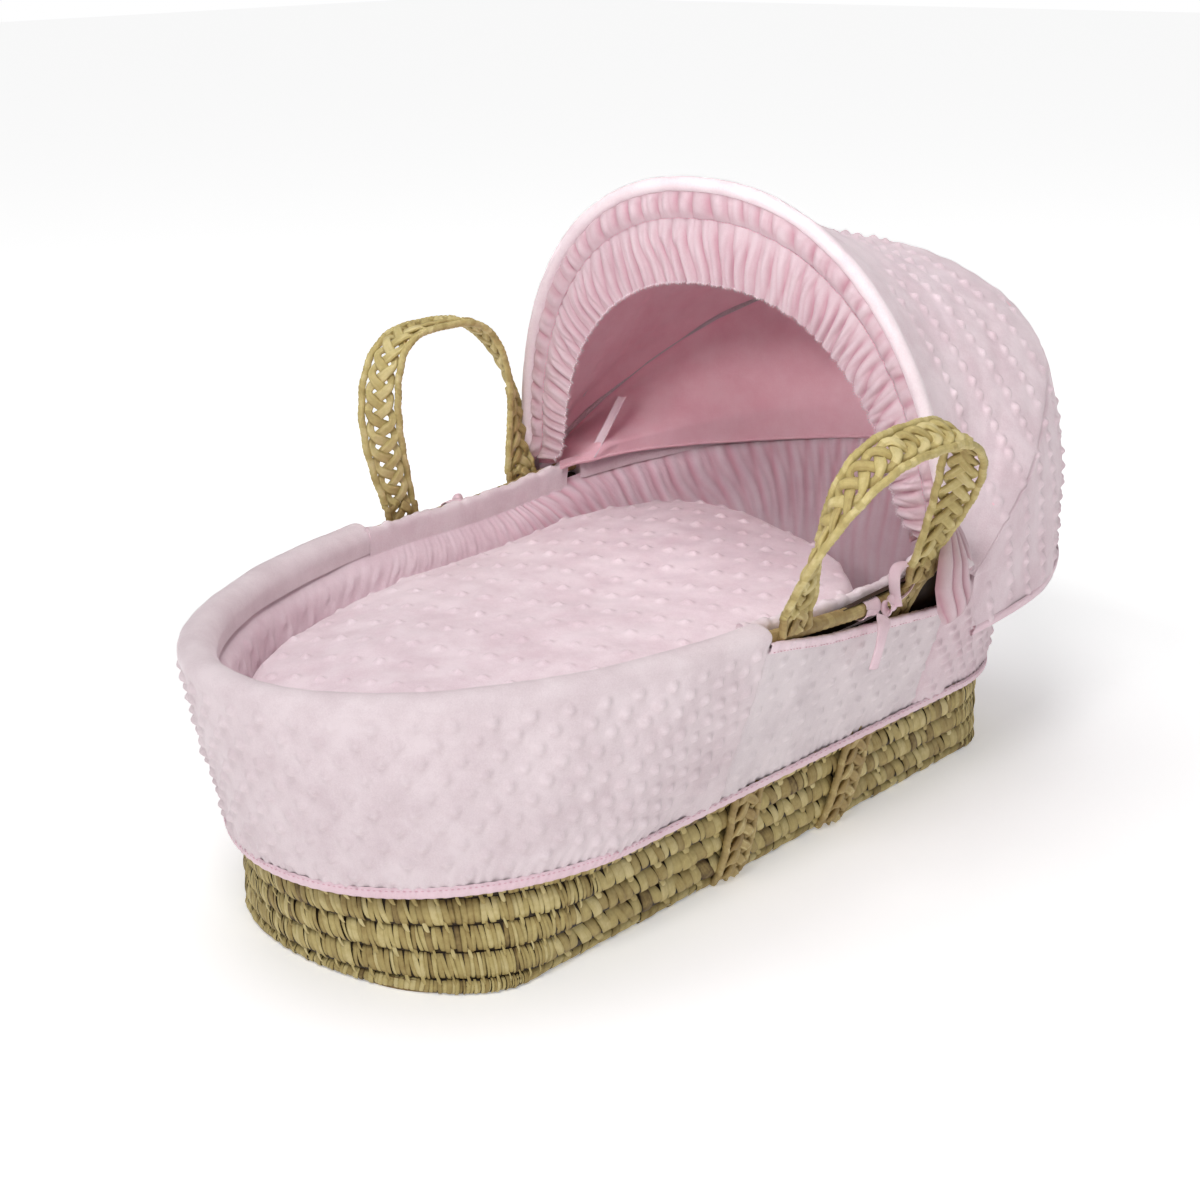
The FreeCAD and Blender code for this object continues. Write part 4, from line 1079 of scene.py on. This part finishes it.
# padded roll along the front edge
roll_line = arch(FRONT, FRONT_WIDTH, FRONT_REACH, 0.006, 520)
way = unit(np.gradient(roll_line, axis=0))
sideways = unit(np.cross(way_of(FRONT), [0, 1.0, 0]))[None]
fat = 0.0062 * (1 + 0.05 * waves(51, 0.05)(roll_line) + 0.03 * waves(52, 0.018)(roll_line))
roll_parts = tube(roll_line, sideways, np.cross(way, sideways), fat, fat * 0.95, 20)
hood_roll = piece("hood_roll_cloth", [roll_parts], ROLL_CLOTH, "hood_front", ["hood_edge_roll"])

# ruffle: two gathered bands with an elastic seam between them
RUFFLE_START = 0.026
RUFFLE = ((0.2145, 0.281), (0.201, 0.2576), (0.175, 0.206))
NORMAL = sideways[0] * -np.sign(sideways[0, 0])


def ruffle_lines(a, b, rows, count):
    """Arches between two given by their half width and reach."""
    return np.stack([arch(FRONT, mix((a[0], b[0]), k), mix((a[1], b[1]), k), RUFFLE_START, count)
                     for k in np.linspace(0, 1, rows)], 1)


def gathered(grid, pitch, high, seed, swell, ends):
    """Folds across a band: round ridges with sharp valleys, uneven and slightly slanted, with a tone of
    painted shade in the valleys.
    """
    rows = grid.shape[1]
    along = lengths(grid[:, rows // 2])[:, None]
    k = np.linspace(0, 1, rows)[None]
    wander = 1.7 * waves(seed, 0.11)(grid) + 0.6 * waves(seed + 1, 0.045)(grid)
    ridge = np.abs(np.sin(np.pi * along / pitch + wander)) ** 0.75
    ridge2 = np.abs(np.sin(np.pi * along / (pitch * 0.61) + 1.8 * waves(seed + 2, 0.07)(grid)))
    fold = 0.75 * ridge + 0.3 * ridge2
    shape = ends[0] + (1 - ends[0]) * smooth(k / 0.35)
    shape = shape * (ends[1] + (1 - ends[1]) * smooth((1 - k) / 0.35))
    puff = swell * np.sin(np.pi * k) ** 0.8
    size = 0.75 + 0.35 * waves(seed + 3, 0.05)(grid)
    lifted = grid + NORMAL * ((high * size * (fold - 0.35) * shape + puff)[..., None])
    # the tone: painted shade, lower in the fold valleys
    return lifted, 0.5 - 0.5 * np.clip(0.95 - fold, 0, 1) * shape


outer_grid = ruffle_lines(RUFFLE[0], RUFFLE[1], 20, 620)
outer_grid, outer_fold_shade = gathered(outer_grid, 0.0175, 0.0062, 61, 0.0030, (0.45, 0.30))
ruffle_outer = piece("ruffle_outer_cloth", [sheet_part(outer_grid, True, tone=outer_fold_shade)], FRILL,
                     "hood_front", ["ruffle_outer_band"])
inner_grid = ruffle_lines(RUFFLE[1], RUFFLE[2], 18, 760)
inner_grid, inner_fold_shade = gathered(inner_grid, 0.0125, 0.0066, 71, 0.0022, (0.35, 0.85))
ruffle_inner = piece("ruffle_inner_cloth", [sheet_part(inner_grid, True, tone=inner_fold_shade)], FRILL,
                     "hood_front", ["ruffle_inner_band"])
seam_line = outer_grid[:, -1] + NORMAL * 0.0006
parts = []
seam_line = evened(seam_line, 900)
for i in range(0, 895, 4):
    line = seam_line[i:i + 4]
    level = unit(np.cross(np.gradient(line, axis=0), NORMAL))
    parts.append(tube(line, NORMAL[None], level, 0.0004, 0.0004, 6))
seam = piece("ruffle_seam_stitches", parts, THREAD, "hood_front", ["ruffle_elastic_seam"])
LOOP_PITCH = 0.0023  # of the overlocked thread on the ruffle's free edge
edge_line = evened(inner_grid[:, -1], 2600)
along = lengths(edge_line)
inward = unit(np.cross(unit(np.gradient(edge_line, axis=0)), NORMAL))
inward *= np.sign((inward * (PIVOT - edge_line)).sum(1))[:, None]
rng = np.random.default_rng(5)
turn = along * 2 * np.pi / LOOP_PITCH
teeth = 0.0012 * np.sin(turn) * rng.uniform(0.6, 1.3, len(along)) + 0.0006
fringe = edge_line + inward * teeth[:, None] + NORMAL * (0.0007 * np.cos(turn))[:, None]
edge_thread = piece("ruffle_edge_thread",
                    [tube(fringe, inward, NORMAL[None], 0.0005, 0.0005, 5)],
                    ROLL_CLOTH, "hood_front")

# bunched ends of the ruffle, outside the rim: the places of their edges, from the top to the bottom
BUNCH_DOWN = (0, 0.3, 0.6, 0.85, 1)
BUNCH_FOOT = (0.101, 0.092, 0.088, 0.093, 0.102)
BUNCH_HEAD = (0.114, 0.122, 0.126, 0.123, 0.113)
BUNCH_TOP, BUNCH_LONG, BUNCH_OUT = 0.262, 0.080, 0.2205
for side, side_name in SIDES:
    u = np.linspace(-1, 1, 80)[:, None]
    v = np.linspace(0, 1, 80)[None]
    left, right = (np.interp(v, BUNCH_DOWN, edge) for edge in (BUNCH_FOOT, BUNCH_HEAD))
    x = 0.5 * (left + right) + 0.5 * (right - left) * u
    z = BUNCH_TOP - BUNCH_LONG * v + 0.004 * u * v
    round_x = np.sqrt(np.maximum(0, 1 - u * u))
    round_z = np.sqrt(np.maximum(0, 1 - np.maximum(0, (v - 0.70) / 0.30) ** 2))
    puff = 0.0150 * round_x * round_z * (0.30 + 0.70 * smooth(v / 0.4))
    slant = 2.2 * u - 1.6 * v + 0.35 * np.sin(4.0 * v + 2.0 * u)
    ridge = np.abs(np.sin(math.pi * slant)) ** 0.7
    folds = 0.0052 * (ridge - 0.45) * smooth(v / 0.15) * round_z * round_x
    bunch = stacked(x, side * (BUNCH_OUT + puff + folds), z)
    # painted shade: the tone falls between the ridges of the folds
    bunch = sheet_part(bunch, side > 0, tone=0.5 - 0.45 * (1 - ridge))
    made = piece("ruffle_end_%s" % side_name, [bunch], FRILL, None)
    bends(made)

# hood lining: under the canopy, then down inside the rim to a hem above the bed
LINING_COLUMNS = 300
LINING_UNDER = 0.0052  # how far the lining is under the canopy
LINING_IN = 0.036  # how far its hem is inside the wall
RIM_PART = 0.62  # the part of the way down at which it passes the rim
angles = np.linspace(96.5, 26.0, 110)
rows = [canopy_arch(a, LINING_UNDER, 0.02, LINING_COLUMNS) for a in angles]
top_row = rows[-1]
target = np.linspace(-0.46 * math.pi, 0.46 * math.pi, LINING_COLUMNS)
tx = SIDE[1] + (HALF[1] - SIDE[1] - LINING_IN) * np.cos(target)
ty = (WIDTH[1] - LINING_IN) * np.sin(target)
rim = bent(RIM, tx / HALF[1])
headward = smooth((tx - 0.13) / 0.24)
over = rim + 0.004
low_z = rim - 0.004 - 0.018 * headward * (1 + smooth(-ty / 0.15))
for k in np.linspace(0, 1, 60)[1:]:
    part = min(k / RIM_PART, 1.0)
    z = mix((top_row[:, 2], over), part) + (low_z - over) * max(0, k - RIM_PART) / (1 - RIM_PART)
    x, y = (mix(pair, smooth(part)) for pair in ((top_row[:, 0], tx), (top_row[:, 1], ty)))
    rows.append(stacked(x, y, z))
lining_grid = softened(np.stack(rows), 10)
normal = normals(lining_grid)
inner_way = np.sign((normal[60, 150] * (PIVOT - lining_grid[60, 150])).sum())
rise = np.linalg.norm((lining_grid - PIVOT)[..., [0, 2]], axis=-1)
free = smooth(rise / 0.05)
lift = 0.0020 * waves(81, 0.09)(lining_grid) * smooth(rise / 0.06)
angle_of = np.degrees(np.arctan2(lining_grid[..., 2] - PIVOT[2], lining_grid[..., 0] - PIVOT[0]))
lift += 0.0058 * np.exp(-((angle_of - 33.0) * rise / 0.38) ** 2) * free
lift -= 0.0030 * np.exp(-((angle_of - 38.0) * rise / 0.55) ** 2) * free
lift -= 0.0011 * dots(lining_grid, HOOD_CENTRES * [0.985, 0.985, 0.99], 0.0056, 1.0, 83) * free
lining_grid = lifted(lining_grid, normal, inner_way * lift)
lining = piece("hood_lining_cloth", [sheet_part(lining_grid, inner_way < 0)], LINING, None)
bends(lining)
lining_hem = evened(lining_grid[-1], 400)
lining_seam = piece("hood_lining_hem", [tube(lining_hem, *rails(lining_hem)[1:], 0.0009, 0.0016, 8)],
                    LINING)

# ------------------------------------------------------------------ ribbons


def ribbon(points, wide_way, wide, count=60, cup=0.0008):
    """A strip of ribbon along a smooth line."""
    knots = np.array(points, float)
    for _ in range(4):
        knots = np.concatenate([knots[:1], *[[0.75 * a + 0.25 * b, 0.25 * a + 0.75 * b]
                                             for a, b in zip(knots[:-1], knots[1:])], knots[-1:]])
    line = evened(knots, count)
    way = unit(np.gradient(line, axis=0))
    across = np.broadcast_to(np.asarray(wide_way, float), line.shape)
    across = unit(across - way * (across * way).sum(1)[:, None])
    normal = np.cross(way, across)
    v = np.linspace(-1, 1, 9)[None, :, None]
    top = line[:, None] + across[:, None] * (0.5 * wide * v) + normal[:, None] * (cup * (1 - v * v))
    loop = np.concatenate([top + normal[:, None] * 0.0004, (top - normal[:, None] * 0.0004)[:, ::-1]], 1)
    first = np.array([(i + 1, i, 17 - i, 16 - i) for i in range(8)])
    last = (count - 1) * 18 + first[:, ::-1]
    return loop, np.concatenate([grid_faces(count, 18, closed_columns=True), first, last]), 0.5, None


coil_y = WIDTH[1] - COIL_IN
for side, side_name in SIDES:
    x0 = 0.024 if side < 0 else 0.000
    z0 = bent(RIM, x0 / HALF[1]) - COIL_DROP - coil_sag(x0, side)
    turn = np.linspace(0, 2 * np.pi, 14)
    hoop = stacked(x0 - 0.004 + 0.002 * np.sin(turn), side * (coil_y + 0.0072 * np.cos(turn)),
                   z0 + 0.0072 * np.sin(turn))
    turn = np.linspace(0.2, 2 * np.pi + 0.2, 12)
    knot = stacked(x0 + 0.012 + 0.001 * np.cos(turn), side * (coil_y + 0.0100 + 0.0042 * np.cos(turn)),
                   z0 + 0.0064 * np.sin(turn))
    parts = [ribbon(hoop, (1, 0, 0), 0.017, 70), ribbon(knot, (1, 0.1, 0.25), 0.0085, 60, 0.0018)]
    if side < 0:
        loop = [(0.040, -0.2185, 0.209), (0.043, -0.2125, 0.227), (0.052, -0.209, 0.236),
                (0.072, -0.207, 0.234), (0.083, -0.205, 0.225), (0.071, -0.206, 0.213),
                (0.052, -0.208, 0.210)]
        parts.append(ribbon(loop, (0.15, 1, 0.1), 0.010, 90))
    bow = piece("ribbon_%s_bow" % side_name, parts, SATIN, replaces=["ribbon_tie_" + side_name])

tail = [(0.024, -0.2175, 0.205), (0.016, -0.2225, 0.200), (0.0125, -0.2235, 0.190),
        (0.0115, -0.2215, 0.180), (0.0095, -0.2195, 0.169)]
ribbon_tail = piece("ribbon_tail_strip", [ribbon(tail, (1, 0, 0), 0.0125, 60, 0.0014)], SATIN,
                    replaces=["ribbon_tail_near"])

# the light cotton tape sewn inside the hood on its far side
strip = ribbon([(0.146, 0.178, 0.241), (0.168, 0.180, 0.262), (0.196, 0.184, 0.286)],
               (0.25, -0.9, 0.2), 0.009, 50)
strap_tape = piece("hood_inner_tape", [strip], TAPE, None)
bends(strap_tape)

# ------------------------------------------------------------------ floor and light

FLOOR_HALF = 12.0
mesh = bpy.data.meshes.new("floor")
corners = ((-1, -1), (1, -1), (1, 1), (-1, 1))
mesh.from_pydata([(x * FLOOR_HALF, y * FLOOR_HALF, -0.0005) for x, y in corners], [], [(0, 1, 2, 3)])
floor = bpy.data.objects.new("floor", mesh)
bpy.context.scene.collection.objects.link(floor)
paper, tree, shader = nodes_of("paper")
shader["Base Color"].default_value = (0.94, 0.94, 0.94, 1)
shader["Roughness"].default_value = 0.9
shader["Emission Color"].default_value = (1, 1, 1, 1)
place = add(tree, "TexCoord").outputs["Object"]
radius = add(tree, "VectorMath", [(place, 0)], operation="LENGTH").outputs["Value"]
glow = ramp(tree, radius, [(at, (k, k, k)) for at, k in ((0.0, 0.30), (0.7, 0.34), (1.0, 0.62))])
tree.links.new(glow, shader["Emission Strength"])
mesh.materials.append(paper)

# a soft white room that the camera sees as pure white
world = bpy.data.worlds.new("studio")
world.use_nodes = True
tree = world.node_tree
room = tree.nodes["Background"]
room.inputs["Color"].default_value = (1, 1, 1, 1)
room.inputs["Strength"].default_value = 0.34
sky = add(tree, "Background", Color=(1, 1, 1, 1), Strength=1.0)
seen = add(tree, "LightPath").outputs["Is Camera Ray"]
choose = add(tree, "MixShader", [(seen, "Fac"), (room.outputs[0], 1), (sky.outputs[0], 2)])
tree.links.new(choose.outputs[0], tree.nodes["World Output"].inputs["Surface"])
bpy.context.scene.world = world
bpy.context.scene.view_settings.view_transform = "Standard"


def softbox(name, place, aim, size, power, spread=180):
    light = bpy.data.lights.new(name, "AREA")
    light.shape = "DISK"
    light.size = size
    light.energy = power
    light.spread = math.radians(spread)
    thing = bpy.data.objects.new(name, light)
    thing.location = place
    thing.rotation_mode = "QUATERNION"
    thing.rotation_quaternion = (Vector(aim) - Vector(place)).to_track_quat("-Z", "Y")
    bpy.context.scene.collection.objects.link(thing)


# name, place, aim, size, watts and, for the fill, its spread in degrees
softbox("key", (-1.5, -0.9, 2.2), (0, 0, 0.2), 0.8, 25)
softbox("top", (-0.1, 0.5, 2.6), (0, 0, 0.2), 1.6, 16)
softbox("fill", (-1.6, -0.5, 1.1), (0.25, 0, 0.40), 0.4, 0.42, 28)
